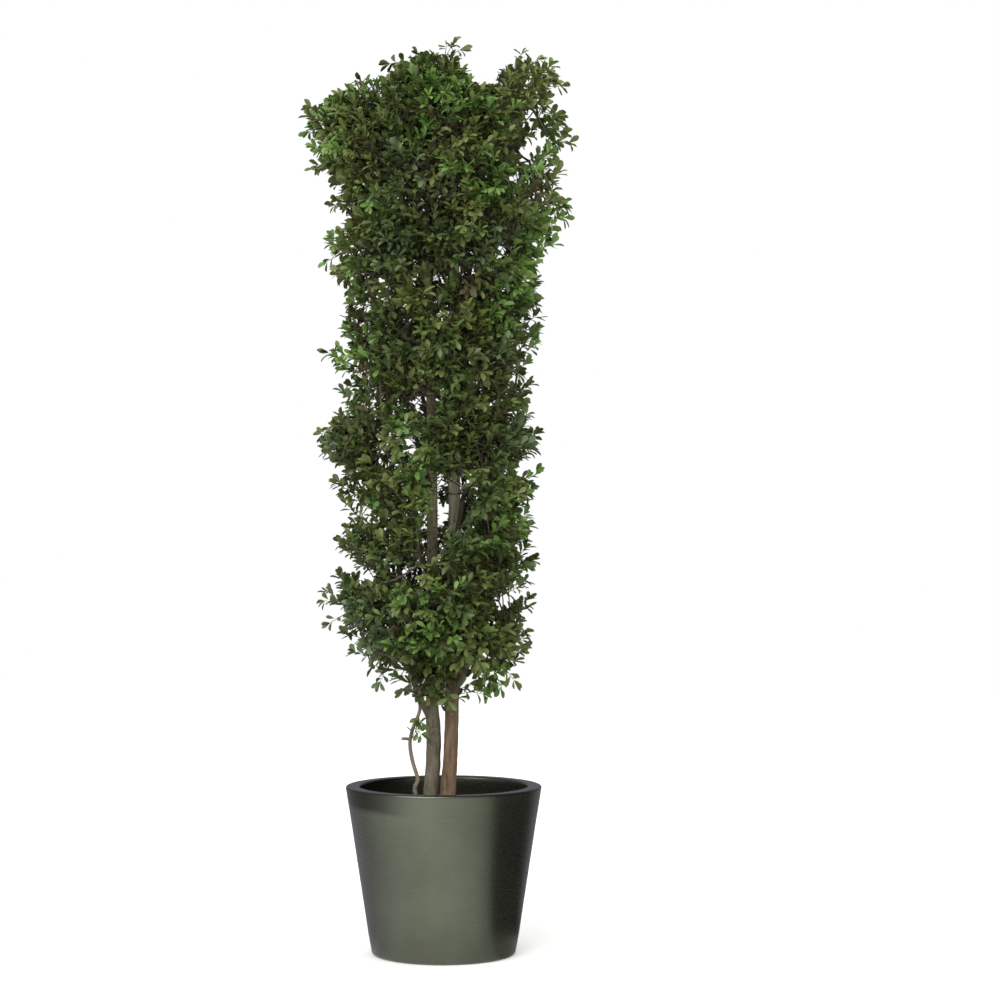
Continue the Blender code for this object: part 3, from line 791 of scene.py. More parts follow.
@functools.cache
def leaf_tree():
    """Leaves in a spiral along shoots, with a whorl at each tip, which turn their faces up."""
    inputs = (
        ("Geometry", "NodeSocketGeometry", None),
        ("Leaves", "NodeSocketCollection", None),
        ("Spacing", "NodeSocketFloat", 0.009),
        ("Tip Leaves", "NodeSocketInt", 3),
        ("Bare Foot", "NodeSocketFloat", 0.10),
        ("Open Angle", "NodeSocketFloat", 1.15),
        ("Tip Angle", "NodeSocketFloat", 0.62),
        ("Angle Spread", "NodeSocketFloat", 0.30),
        ("Turn Up", "NodeSocketFloat", 0.55),
        ("Smallest", "NodeSocketFloat", 0.66),
        ("Seed", "NodeSocketInt", 0),
        ("Material", "NodeSocketMaterial", None),
    )
    outputs = (("Geometry", "NodeSocketGeometry", None),)
    tree, given, result = new_group("Leaves on Shoots", "GeometryNodeTree", inputs, outputs)
    along = attribute(tree, "along")
    heading = attribute(tree, "heading", "FLOAT_VECTOR")

    curve = add_node(tree, "GeometryNodeMeshToCurve", {"Mesh": given["Geometry"]})
    steps = add_node(
        tree,
        "GeometryNodeCurveToPoints",
        {"Curve": curve.outputs[0], "Length": given["Spacing"]},
        mode="LENGTH",
    )
    bare = add_node(
        tree,
        "GeometryNodeDeleteGeometry",
        {
            "Geometry": steps.outputs["Points"],
            "Selection": calculate(tree, "LESS_THAN", along, given["Bare Foot"]),
        },
        domain="POINT",
    )
    tips = add_node(
        tree,
        "GeometryNodeMeshToPoints",
        {"Mesh": given["Geometry"], "Selection": calculate(tree, "GREATER_THAN", along, 0.999)},
    )
    whorl = add_node(
        tree,
        "GeometryNodeDuplicateElements",
        {"Geometry": tips.outputs[0], "Amount": given["Tip Leaves"]},
        domain="POINT",
    )
    feet = add_node(tree, "GeometryNodeJoinGeometry")
    tree.links.new(bare.outputs[0], feet.inputs[0])
    tree.links.new(whorl.outputs[0], feet.inputs[0])

    index = add_node(tree, "GeometryNodeInputIndex").outputs[0]
    spiral = calculate(tree, "MULTIPLY", index, GOLDEN_ANGLE)
    spread = add_node(
        tree,
        "FunctionNodeRandomValue",
        {2: calculate(tree, "MULTIPLY", given["Angle Spread"], -1.0), 3: given["Angle Spread"], "Seed": given["Seed"]},
        data_type="FLOAT",
    ).outputs[1]
    closing = calculate(
        tree,
        "MULTIPLY",
        calculate(tree, "MULTIPLY", along, along),
        calculate(tree, "SUBTRACT", given["Tip Angle"], given["Open Angle"]),
    )
    opening = calculate(tree, "ADD", calculate(tree, "ADD", given["Open Angle"], closing), spread)
    rise = calculate(tree, "SUBTRACT", opening, math.pi / 2)
    # The leaf's midrib is +X, its face +Z, and the shoot runs along +Z
    on_shoot = add_node(tree, "FunctionNodeAlignRotationToVector", {"Vector": heading}, axis="Z")
    turned = add_node(
        tree,
        "FunctionNodeRotateRotation",
        {
            0: on_shoot.outputs[0],
            1: add_node(tree, "FunctionNodeAxisAngleToRotation", {"Axis": (0, 0, 1), "Angle": spiral}).outputs[0],
        },
        rotation_space="LOCAL",
    )
    raised = add_node(
        tree,
        "FunctionNodeRotateRotation",
        {
            0: turned.outputs[0],
            1: add_node(tree, "FunctionNodeAxisAngleToRotation", {"Axis": (0, 1, 0), "Angle": rise}).outputs[0],
        },
        rotation_space="LOCAL",
    )
    up = add_node(
        tree,
        "FunctionNodeAlignRotationToVector",
        {"Rotation": raised.outputs[0], "Factor": given["Turn Up"], "Vector": (0.0, 0.0, 1.0)},
        axis="Z",
        pivot_axis="X",
    )
    size = add_node(
        tree,
        "FunctionNodeRandomValue",
        {2: given["Smallest"], 3: 1.0, "Seed": calculate(tree, "ADD", given["Seed"], 1.0)},
        data_type="FLOAT",
    ).outputs[1]
    kind = add_node(
        tree,
        "FunctionNodeRandomValue",
        {4: 0, 5: 99, "Seed": calculate(tree, "ADD", given["Seed"], 2.0)},
        data_type="INT",
    ).outputs[2]
    leaves = add_node(
        tree,
        "GeometryNodeCollectionInfo",
        {"Collection": given["Leaves"], "Separate Children": True, "Reset Children": True},
    )
    placed = add_node(
        tree,
        "GeometryNodeInstanceOnPoints",
        {
            "Points": feet.outputs[0],
            "Instance": leaves.outputs[0],
            "Pick Instance": True,
            "Instance Index": kind,
            "Rotation": up.outputs[0],
            "Scale": size,
        },
    )
    real = add_node(tree, "GeometryNodeRealizeInstances", {0: placed.outputs[0]})
    end = add_node(tree, "GeometryNodeSetMaterial", {0: real.outputs[0], "Material": given["Material"]})
    tree.links.new(end.outputs[0], result["Geometry"])
    return tree


@functools.cache
def crumb_tree():
    """Crumbs of bark strewn over a surface."""
    inputs = (
        ("Geometry", "NodeSocketGeometry", None),
        ("Crumbs", "NodeSocketCollection", None),
        ("Density", "NodeSocketFloat", 9000.0),
        ("Largest", "NodeSocketFloat", 0.016),
        ("Seed", "NodeSocketInt", 0),
        ("Material", "NodeSocketMaterial", None),
    )
    outputs = (("Geometry", "NodeSocketGeometry", None),)
    tree, given, result = new_group("Crumbs on Soil", "GeometryNodeTree", inputs, outputs)
    strewn = add_node(
        tree,
        "GeometryNodeDistributePointsOnFaces",
        {"Mesh": given["Geometry"], "Density": given["Density"], "Seed": given["Seed"]},
    )
    turn = add_node(
        tree,
        "FunctionNodeRandomValue",
        {0: (-0.5, -0.5, 0.0), 1: (0.5, 0.5, 2 * math.pi), "Seed": given["Seed"]},
        data_type="FLOAT_VECTOR",
    ).outputs[0]
    share = add_node(
        tree, "FunctionNodeRandomValue", {2: 0.15, 3: 1.0, "Seed": given["Seed"]}, data_type="FLOAT"
    ).outputs[1]
    size = calculate(tree, "MULTIPLY", calculate(tree, "POWER", share, 2.0), given["Largest"])
    kind = add_node(
        tree, "FunctionNodeRandomValue", {4: 0, 5: 99, "Seed": given["Seed"]}, data_type="INT"
    ).outputs[2]
    crumbs = add_node(
        tree,
        "GeometryNodeCollectionInfo",
        {"Collection": given["Crumbs"], "Separate Children": True, "Reset Children": True},
    )
    placed = add_node(
        tree,
        "GeometryNodeInstanceOnPoints",
        {
            "Points": strewn.outputs["Points"],
            "Instance": crumbs.outputs[0],
            "Pick Instance": True,
            "Instance Index": kind,
            "Rotation": turn,
            "Scale": size,
        },
    )
    real = add_node(tree, "GeometryNodeRealizeInstances", {0: placed.outputs[0]})
    end = add_node(tree, "GeometryNodeSetMaterial", {0: real.outputs[0], "Material": given["Material"]})
    tree.links.new(end.outputs[0], result["Geometry"])
    return tree


# Shader node groups


@functools.cache
def speckle_group():
    """Noise over the surface, stretched along Z, as a mask, a value and a height."""
    inputs = (
        ("Scale", "NodeSocketFloat", 40.0),
        ("Stretch", "NodeSocketFloat", 1.0),
        ("Low", "NodeSocketFloat", 0.0),
        ("High", "NodeSocketFloat", 1.0),
        ("Detail", "NodeSocketFloat", 4.0),
    )
    outputs = (("Value", "NodeSocketFloat", None),)
    tree, given, result = new_group("Stretched Speckle", "ShaderNodeTree", inputs, outputs)
    place = add_node(tree, "ShaderNodeTexCoord").outputs["Object"]
    squeeze = add_node(tree, "ShaderNodeCombineXYZ", {"X": 1.0, "Y": 1.0, "Z": given["Stretch"]})
    grain = add_node(
        tree, "ShaderNodeVectorMath", {0: place, 1: squeeze.outputs[0]}, operation="MULTIPLY"
    )
    speckle = add_node(
        tree,
        "ShaderNodeTexNoise",
        {"Vector": grain.outputs[0], "Scale": given["Scale"], "Detail": given["Detail"]},
    )
    ranged = add_node(
        tree,
        "ShaderNodeMapRange",
        {0: speckle.outputs[0], 1: 0.30, 2: 0.70, 3: given["Low"], 4: given["High"]},
    )
    tree.links.new(ranged.outputs[0], result["Value"])
    return tree


@functools.cache
def spots_group():
    """Irregular flecks in patches, such as lichen on bark, as a mask."""
    inputs = (("Scale", "NodeSocketFloat", 60.0), ("Cover", "NodeSocketFloat", 0.3))
    outputs = (("Mask", "NodeSocketFloat", None),)
    tree, given, result = new_group("Lichen Flecks", "ShaderNodeTree", inputs, outputs)
    place = add_node(tree, "ShaderNodeTexCoord").outputs["Object"]
    patches = add_node(tree, "ShaderNodeTexNoise", {"Vector": place, "Scale": 14.0, "Detail": 2.0})
    flecks = add_node(
        tree,
        "ShaderNodeTexNoise",
        {"Vector": place, "Scale": given["Scale"], "Detail": 4.0, "Distortion": 0.6},
    )
    edge = calculate(tree, "SUBTRACT", 0.78, calculate(tree, "MULTIPLY", patches.outputs[0], given["Cover"]))
    soft = calculate(tree, "ADD", edge, 0.05)
    mask = add_node(
        tree, "ShaderNodeMapRange", {0: flecks.outputs[0], 1: edge, 2: soft, 3: 0.0, 4: 1.0}
    )
    tree.links.new(mask.outputs[0], result["Mask"])
    return tree


def use_group(tree, group, **values):
    """Places a shader node group, its inputs named with _ for a space."""
    node = tree.nodes.new("ShaderNodeGroup")
    node.node_tree = group
    for name, value in values.items():
        node.inputs[name.replace("_", " ").title()].default_value = value
    return node.outputs[0]


def blend_colours(tree, factor, first, second, mode="MIX"):
    """The output of a Mix node for colours."""
    mix = tree.nodes.new("ShaderNodeMix")
    mix.data_type = "RGBA"
    mix.blend_type = mode
    for socket, value in ((mix.inputs[0], factor), (mix.inputs[6], first), (mix.inputs[7], second)):
        if isinstance(value, bpy.types.NodeSocket):
            tree.links.new(value, socket)
        elif isinstance(value, (int, float)):
            socket.default_value = value
        else:
            socket.default_value = (*value, 1)[:4]
    return mix.outputs[2]


def new_material(name, colour, roughness, metallic=0.0):
    made = bpy.data.materials.new(name)
    made.use_nodes = True
    shader = made.node_tree.nodes["Principled BSDF"]
    shader.inputs["Base Color"].default_value = (*colour, 1)
    shader.inputs["Roughness"].default_value = roughness
    shader.inputs["Metallic"].default_value = metallic
    return made, made.node_tree, shader


def add_bump(tree, shader, height, strength, distance):
    bump = add_node(
        tree, "ShaderNodeBump", {"Strength": strength, "Distance": distance, "Height": height}
    )
    tree.links.new(bump.outputs[0], shader.inputs["Normal"])


def darker(colour, share):
    return tuple(channel * share for channel in colour)


# Materials


def metal_material(looks):
    """Satin green-grey metal, faintly brushed round the planter, with painted shade under the lip, heavier on the
    left, and painted shade towards the foot.
    """
    made, tree, shader = new_material("satin green-grey metal", looks.metal, looks.roughness, 0.95)
    cloudy = use_group(tree, speckle_group(), scale=5.0, low=0.86, high=1.10, detail=3.0)
    brushed = use_group(tree, speckle_group(), scale=9.0, stretch=60.0, low=0.965, high=1.03)
    place = add_node(
        tree, "ShaderNodeSeparateXYZ", {0: add_node(tree, "ShaderNodeTexCoord").outputs["Object"]}
    ).outputs
    # Painted shade: a darker band just under the lip.
    under_lip = PLANTER_HEIGHT - LIP_DEPTH
    painted_shade_factor = add_node(
        tree,
        "ShaderNodeMapRange",
        {0: place["Z"], 1: under_lip - 0.032, 2: under_lip + 0.002, 3: 1.0, 4: 0.0},
        interpolation_type="SMOOTHSTEP",
    ).outputs[0]
    slope = (PLANTER_TOP_RADIUS - PLANTER_BASE_RADIUS) / PLANTER_HEIGHT
    radius = calculate(tree, "MULTIPLY_ADD", place["Z"], slope, PLANTER_BASE_RADIUS)
    # Painted shade under the lip, heavier on the planter's left side.
    painted_shade_left = add_node(
        tree,
        "ShaderNodeMapRange",
        {0: calculate(tree, "DIVIDE", place["X"], radius), 1: -0.80, 2: -0.24, 3: 0.34, 4: 0.98},
        interpolation_type="SMOOTHSTEP",
    ).outputs[0]
    painted_shade_factor = calculate(tree, "MAXIMUM", painted_shade_factor, painted_shade_left)
    # Painted shade: the metal darkens towards the foot.
    foot = add_node(
        tree,
        "ShaderNodeMapRange",
        {0: place["Z"], 1: 0.0, 2: 0.150, 3: 0.74, 4: 1.0},
        interpolation_type="SMOOTHSTEP",
    ).outputs[0]
    painted_shade_factor = calculate(tree, "MULTIPLY", painted_shade_factor, foot)
    shade = calculate(tree, "MULTIPLY", calculate(tree, "MULTIPLY", cloudy, brushed), painted_shade_factor)
    tone = add_node(tree, "ShaderNodeCombineXYZ", {0: shade, 1: shade, 2: shade}).outputs[0]
    colour = blend_colours(tree, 1.0, tuple(looks.metal), tone, "MULTIPLY")
    lip = add_node(
        tree,
        "ShaderNodeMapRange",
        {0: place["Z"], 1: PLANTER_HEIGHT - 1.5 * LIP_ROUNDING, 2: PLANTER_HEIGHT, 3: 0.0, 4: 1.0},
    ).outputs[0]
    colour = blend_colours(tree, lip, colour, LIP_COLOUR)
    tree.links.new(colour, shader.inputs["Base Color"])
    rough = use_group(
        tree,
        speckle_group(),
        scale=14.0,
        stretch=30.0,
        low=looks.roughness - 0.01,
        high=looks.roughness + 0.02,
    )
    tree.links.new(rough, shader.inputs["Roughness"])
    return made


def bark_material(name, low_colour, high_colour, fade, spots, looks):
    """Ridged bark whose colour turns from one to the other between two heights."""
    made, tree, shader = new_material(name, low_colour, 0.88)
    height = add_node(
        tree, "ShaderNodeSeparateXYZ", {0: add_node(tree, "ShaderNodeTexCoord").outputs["Object"]}
    ).outputs["Z"]
    turning = add_node(
        tree, "ShaderNodeMapRange", {0: height, 1: fade[0], 2: fade[1], 3: 0.0, 4: 1.0}
    ).outputs[0]
    base = blend_colours(tree, turning, low_colour, high_colour)
    fissures = use_group(tree, speckle_group(), scale=120.0, stretch=0.14, detail=5.0)
    base = blend_colours(tree, fissures, blend_colours(tree, 1.0, base, (0.5, 0.46, 0.42), "MULTIPLY"), base)
    blotches = use_group(tree, speckle_group(), scale=26.0, stretch=0.45, low=-0.2, high=0.9)
    pale = blend_colours(tree, 1.0, base, (1.75, 1.66, 1.50), "MULTIPLY")
    base = blend_colours(tree, blotches, base, pale)
    stains = use_group(tree, speckle_group(), scale=38.0, stretch=0.3, low=-0.9, high=0.9)
    base = blend_colours(tree, stains, base, blend_colours(tree, 1.0, base, (0.45, 0.46, 0.42), "MULTIPLY"))
    lichen = use_group(tree, spots_group(), scale=110.0, cover=spots)
    base = blend_colours(tree, lichen, base, (0.17, 0.18, 0.135))
    tree.links.new(base, shader.inputs["Base Color"])
    add_bump(tree, shader, fissures, 0.55, 0.0012)
    return made


def leaf_material(name, colour):
    """A preserved leaf: one plain tint, with a waxy gloss that varies over the surface."""
    made, tree, shader = new_material(name, colour, 0.45)
    shader.inputs["Specular IOR Level"].default_value = 0.35
    gloss = use_group(tree, speckle_group(), scale=70.0, low=0.36, high=0.56, detail=2.0)
    tree.links.new(gloss, shader.inputs["Roughness"])
    return made


def soil_material(looks):
    made, tree, shader = new_material("dark potting soil", looks.colour, 0.95)
    grit = use_group(tree, speckle_group(), scale=160.0, low=0.0, high=1.0, detail=6.0)
    colour = blend_colours(tree, grit, darker(looks.colour, 0.45), darker(looks.colour, 1.7))
    tree.links.new(colour, shader.inputs["Base Color"])
    add_bump(tree, shader, grit, 0.8, 0.002)
    return made


# Limbs, each a list of stations of (position, radius)


class Mass:
    """One mass of foliage: its name, its middle, and the way that its stem heads."""

    def __init__(self, name, centre, heading):
        self.name = name
        self.centre = Vector(centre)
        self.heading = Vector(heading).normalized()
        self.targets = []
        self.stem = []


def smooth_stations(stations, steps=STEPS_PER_STATION):
    """Points on a smooth curve through the stations. The first stretch stays upright and straight."""
    made = [stations[0]]
    for k in range(1, len(stations) - 1):
        a, b, c = stations[k - 1], stations[k], stations[k + 1]
        d = stations[min(k + 2, len(stations) - 1)]
        for step in range(steps):
            t = step / steps
            place = 0.5 * (
                2 * b[0]
                + (c[0] - a[0]) * t
                + (2 * a[0] - 5 * b[0] + 4 * c[0] - d[0]) * t**2
                + (3 * b[0] - a[0] - 3 * c[0] + d[0]) * t**3
            )
            made.append((place, b[1] + (c[1] - b[1]) * t))
    return [*made, stations[-1]]


def stem_stations(table, steps=STEPS_PER_STATION):
    ground = SOIL_LEVEL + SEAT_GAP
    return smooth_stations([(Vector((x, y, ground + z)), r) for x, y, z, r in table], steps)


def bend(start, knee, end, count):
    """Points on a quadratic curve from start to end that leans towards knee."""
    parts = [k / (count - 1) for k in range(count)]
    return [start * (1 - t) ** 2 + knee * 2 * t * (1 - t) + end * t**2 for t in parts]


def tapering(places, first_radius, last_radius):
    steps = len(places) - 1
    return [(p, first_radius + (last_radius - first_radius) * k / steps) for k, p in enumerate(places)]


def at_height(stations, z):
    """Position and radius of a stem at a height."""
    for (low, low_r), (high, high_r) in zip(stations, stations[1:]):
        if z <= high.z:
            t = (z - low.z) / (high.z - low.z)
            return low.lerp(high, t), low_r + (high_r - low_r) * t
    return stations[-1]


def bough_stations(mass, stems):
    """From a stem's axis, out and up, to where the bough enters its mass."""
    stem = stems["left" if mass.centre.x < 0 else "right"]
    outward = Vector((mass.centre.x, mass.centre.y, 0)).normalized()
    entry = outward * BOUGH_REACH + Vector((0, 0, mass.centre.z - BOUGH_DROP))
    highest = stem[-1][0].z - HIGHEST_BOUGH_ROOT
    root, stem_radius = at_height(stem, min(entry.z - BOUGH_RISE, highest))
    knee = root.lerp(entry, BOUGH_KNEE) - Vector((0, 0, BOUGH_KNEE_DROP))
    radius = stem_radius * BOUGH_SHARE
    return tapering(bend(root, knee, entry, LIMB_STATIONS), radius, radius * BOUGH_TAPER)


def mass_stem(mass, limb):
    """Carries on from the tip of a limb to just beyond the middle of its mass."""
    (before, _), (entry, radius) = limb[-2:]
    onward = (entry - before).normalized()
    end = mass.centre + mass.heading * STEM_BEYOND
    places = bend(entry, entry + onward * STEM_BEYOND, end, LIMB_STATIONS)
    return tapering(places, radius, radius * STEM_TAPER)


# The crown's space, and how the masses share it


def reach_at(z):
    """How far the crown reaches to the left, right, front and back at a height."""
    for low, high in zip(CROWN, CROWN[1:]):
        if low[0] <= z <= high[0]:
            t = (z - low[0]) / (high[0] - low[0])
            return [a + (b - a) * t for a, b in zip(low[1:], high[1:])]
    return None


def reach_towards(z, turn):
    """The crown's radius at a height, in a direction round the axis."""
    left, right, front, back = reach_at(z)
    across = math.cos(turn) / (right if math.cos(turn) > 0 else left)
    along = math.sin(turn) / (back if math.sin(turn) > 0 else front)
    return 1 / math.hypot(across, along)


def outward_at(point):
    """The direction straight out through the crown's surface near a point on it."""
    def share(place):
        z = max(CROWN[0][0], min(CROWN[-1][0], place.z))
        return place.to_2d().length / reach_towards(z, math.atan2(place.y, place.x))

    ways = [way * GRADIENT_STEP for way in Matrix.Identity(3)]
    return Vector([share(point + way) - share(point - way) for way in ways]).normalized()


def in_outline(point, inset=0.0):
    """Whether a point is inside the crown, and deeper than inset."""
    ways = [way * side for way in Matrix.Identity(3) for side in (-inset, inset)]
    for way in ways if inset else [Vector()]:
        x, y, z = point + way
        if not CROWN[0][0] <= z <= CROWN[-1][0]:
            return False
        if math.hypot(x, y) > reach_towards(z, math.atan2(y, x)):
            return False
    return True


def as_seen(point):
    """Where the camera sees a point, on the upright plane through the plant's middle."""
    nearer = CAMERA_DISTANCE / (CAMERA_DISTANCE + point.y)
    x = CAMERA_X + (point.x - CAMERA_X) * nearer
    return x, CAMERA_HEIGHT + (point.z - CAMERA_HEIGHT) * nearer


def in_place(seen, place, margin=0.0):
    """Whether a seen point is in an ellipse of (x, z, half width, half height)."""
    x, z, half_width, half_height = place[:4]
    across = (seen[0] - x) / (half_width + margin)
    return across**2 + ((seen[1] - z) / (half_height + margin)) ** 2 < 1


def in_sky_gap(point, margin=0.0):
    seen = as_seen(point)
    return any(in_place(seen, gap, margin) for gap in SKY_GAPS)


def nearest_mass(point, masses):
    return min(masses, key=lambda mass: (point - mass.centre).length_squared)


def in_own_space(mass, point, masses, gap=CELL_GAP, inset=0.0):
    """Whether a point is in the crown and nearest to this mass's middle."""
    own = (point - mass.centre).length_squared
    for other in masses:
        if other is not mass:
            apart = (other.centre - mass.centre).length
            if (point - other.centre).length_squared - own < 2 * apart * gap:
                return False
    return in_outline(point, inset)


def clear_of_limbs(point, limbs, gap=LIMB_GAP):
    """Whether a point is clear of every stem and bough."""
    for stations in limbs:
        for (a, a_r), (b, b_r) in zip(stations, stations[1:]):
            run = b - a
            t = max(0.0, min(1.0, (point - a).dot(run) / run.length_squared))
            if (point - a - run * t).length < max(a_r, b_r) + gap:
                return False
    return True


def crown_masses(sucker_tip):
    made = []
    for k in range(SPIRAL_MASSES):
        z = SPIRAL_BOTTOM + (SPIRAL_TOP - SPIRAL_BOTTOM) * k / (SPIRAL_MASSES - 1)
        turn = FIRST_TURN + k * GOLDEN_ANGLE
        outward = Vector((math.cos(turn), math.sin(turn), 0))
        centre = outward * reach_towards(z, turn) * MASS_DISTANCE + Vector((0, 0, z))
        made.append(Mass(f"{k + 1:02d}", centre, outward))
    made += [Mass(name, centre, heading) for name, centre, heading in HEAD_MASSES]
    made.append(Mass("low", sucker_tip + Vector(LOW_MASS_OFFSET), LOW_MASS_HEADING))
    return made


def surface_points(count):
    """Points spread evenly over the crown's surface: equal areas of its rings, and the golden angle."""
    rings = [(sum(row[1:]) / 4, row[0]) for row in CROWN]
    profile = [(0.0, rings[0][1]), *rings, (0.0, rings[-1][1])]
    slices = []
    for (r, z), (next_r, next_z) in zip(profile, profile[1:]):
        for k in range(RING_SLICES):
            middle = (k + 0.5) / RING_SLICES
            slice_r = r + (next_r - r) * middle
            area = slice_r * math.hypot(next_r - r, next_z - z)
            slices.append((slice_r, z + (next_z - z) * middle, area))
    areas = list(accumulate(area for _, _, area in slices))
    for k in range(count):
        slice_r, z, _ = slices[bisect_right(areas, areas[-1] * (k + 0.5) / count)]
        turn = k * GOLDEN_ANGLE
        share = min(1.0, slice_r / (sum(reach_at(z)) / 4))
        r = reach_towards(z, turn) * share
        yield Vector((math.cos(turn) * r, math.sin(turn) * r, z))


# Growing the crown


class Shoot:
    """A leafy shoot: its stations, and the tint of its leaves."""

    def __init__(self, stations, tint):
        self.stations = stations
        self.tint = tint


def any_way(chance):
    return Vector([chance.gauss(0, 1) for _ in range(3)]).normalized()


def tint_at(point, depth, chance):
    """The tint of a spray: by the place that the camera sees it in, or by clumps elsewhere."""
    seen = as_seen(point)
    luck = chance.random()
    facing = point.y < 0.05
    if depth > DEEP_SHADE and point.z < OLD_TOP and luck < 0.45:
        return "old"
    if facing and any(in_place(seen, place) for place in FRESH_PLACES):
        return "bright" if luck < 0.35 else "fresh" if luck < 0.88 else "middle"
    if any(in_place(seen, place) for place in OLIVE_PLACES) and luck < 0.7:
        return "olive" if luck < 0.45 else "fresh"
    if facing and any(in_place(seen, place) for place in DULL_PLACES):
        return "dull" if luck < 0.60 else "middle" if luck < 0.85 else "deep"
    if facing and any(in_place(seen, place) for place in DEEP_PLACES) and luck < 0.7:
        return "deep" if luck < 0.55 else "middle"
    clump = noise.noise(point * TINT_CLUMP) + chance.gauss(0, 0.12)
    if clump > 0.34:
        return "fresh"
    if clump > 0.12:
        return "olive"
    if clump < -0.30:
        return "dull"
    # The deep tint is commoner low in the crown: painted shade.
    height = (point.z - CROWN[0][0]) / (CROWN[-1][0] - CROWN[0][0])
    low_share, high_share = DEEP_SHARES
    return "deep" if luck < low_share + (high_share - low_share) * height else "middle"


def kept(point, chance):
    """Whether a spray is kept where the camera sees the crown thin."""
    seen = as_seen(point)
    share = min([place[4] for place in THIN_PLACES if in_place(seen, place)], default=1.0)
    return chance.random() < share


def free_for_shoot(point, stems, margin=0.0):
    """Whether a shoot may pass through a point, in a crown that is uneven and lower at its top."""
    if in_sky_gap(point, GAP_MARGIN) or not in_outline(point, margin):
        return False
    if point.y < 0 and any(in_place(as_seen(point), place, BARE_MARGIN) for place in BARE_PLACES):
        return False
    if margin:
        hollow = max(0.0, noise.noise(point * HOLLOWS_TO_METRE)) * HOLLOW_DEPTH
        outward = outward_at(point)
        if not in_outline(point + outward * (margin + hollow)):
            return False
        if not in_outline(point + Vector((0, 0, TOP_MARGIN))):
            return False
    return clear_of_limbs(point, stems, SHOOT_CLEARANCE)


def grow_shoot(start, heading, length, stems, chance):
    """A shoot that curves a little upwards, cut back to where it is free, or None."""
    heading = heading.normalized()
    side = any_way(chance)
    knee = start + heading * length * 0.5
    end = start + heading * length + (Vector((0, 0, 0.10)) + side * 0.14) * length
    for share in (1.0, 0.8, 0.6, 0.45):
        tip = start.lerp(end, share)
        if free_for_shoot(tip, stems, LEAF_MARGIN) and free_for_shoot(start.lerp(tip, 0.5), stems):
            places = bend(start, start.lerp(knee, share), tip, 4)
            return tapering(places, SHOOT_RADIUS, SHOOT_TIP_RADIUS)
    return None


def main_twigs(mass, masses, others, chance):
    """The twigs of the solids: from the mass's stem to its share of the surface points."""
    path = [place for place, _ in mass.stem]
    for target in mass.targets:
        outward = outward_at(target)
        inward = mass.centre - target
        along_surface = (inward - outward * inward.dot(outward)).normalized()
        for shift in TWIG_SHIFTS:
            tip = target + along_surface * shift - outward * TWIG_INSET
            if in_own_space(mass, tip, masses) and clear_of_limbs(tip, others):
                root = min(path[2:], key=lambda p: (p - tip).length)
                knee = root.lerp(tip, 0.5) - Vector((0, 0, TWIG_SAG * chance.random()))
                places = bend(root, knee, tip, TWIG_STATIONS)
                yield tapering(places, TWIG_RADIUS, TWIG_TIP_RADIUS)
                break


def fine_twig(tip, outward, skeleton, chance):
    """A twig to tip from the nearest part of the skeleton that lies further in, or None."""
    roots = [p for p in skeleton if (tip - p).dot(outward) > -0.01 and (tip - p).length > FINE_TWIG_SHORTEST]
    if not roots:
        return None
    root = min(roots, key=lambda p: (p - tip).length)
    if (root - tip).length > FINE_TWIG_LONGEST:
        return None
    knee = root.lerp(tip, 0.5) + any_way(chance) * (tip - root).length * 0.12
    places = bend(root, knee - Vector((0, 0, 0.12)) * (tip - root).length, tip, 5)
    return tapering(places, FINE_TWIG_RADIUS, FINE_TWIG_TIP_RADIUS)


def spray_of_shoots(twig, outward, depth, stems, chance):
    """A leading shoot on a twig's tip, with shoots to its sides."""
    before, tip = twig[-2][0], twig[-1][0]
    onward = (tip - before).normalized()
    lead = onward * 0.45 + outward * 0.65 + Vector((0, 0, 0.30)) + any_way(chance) * 0.30
    tint = tint_at(tip, depth, chance)
    made = [Shoot(grow_shoot(tip, lead, chance.uniform(*SHOOT_LENGTHS), stems, chance), tint)]
    across = lead.orthogonal().normalized()
    for k in range(SIDE_SHOOTS):
        spin = Quaternion(lead.normalized(), chance.uniform(0, 2 * math.pi) + k * GOLDEN_ANGLE)
        splay = Quaternion(spin @ across, math.radians(chance.uniform(*SIDE_SHOOT_SPLAY)))
        foot = tip.lerp(twig[-3][0], chance.uniform(0.0, 0.9))
        length = chance.uniform(*SHOOT_LENGTHS) * SIDE_SHOOT_SHARE
        made.append(Shoot(grow_shoot(foot, splay @ lead, length, stems, chance), tint))
    return [shoot for shoot in made if shoot.stations]


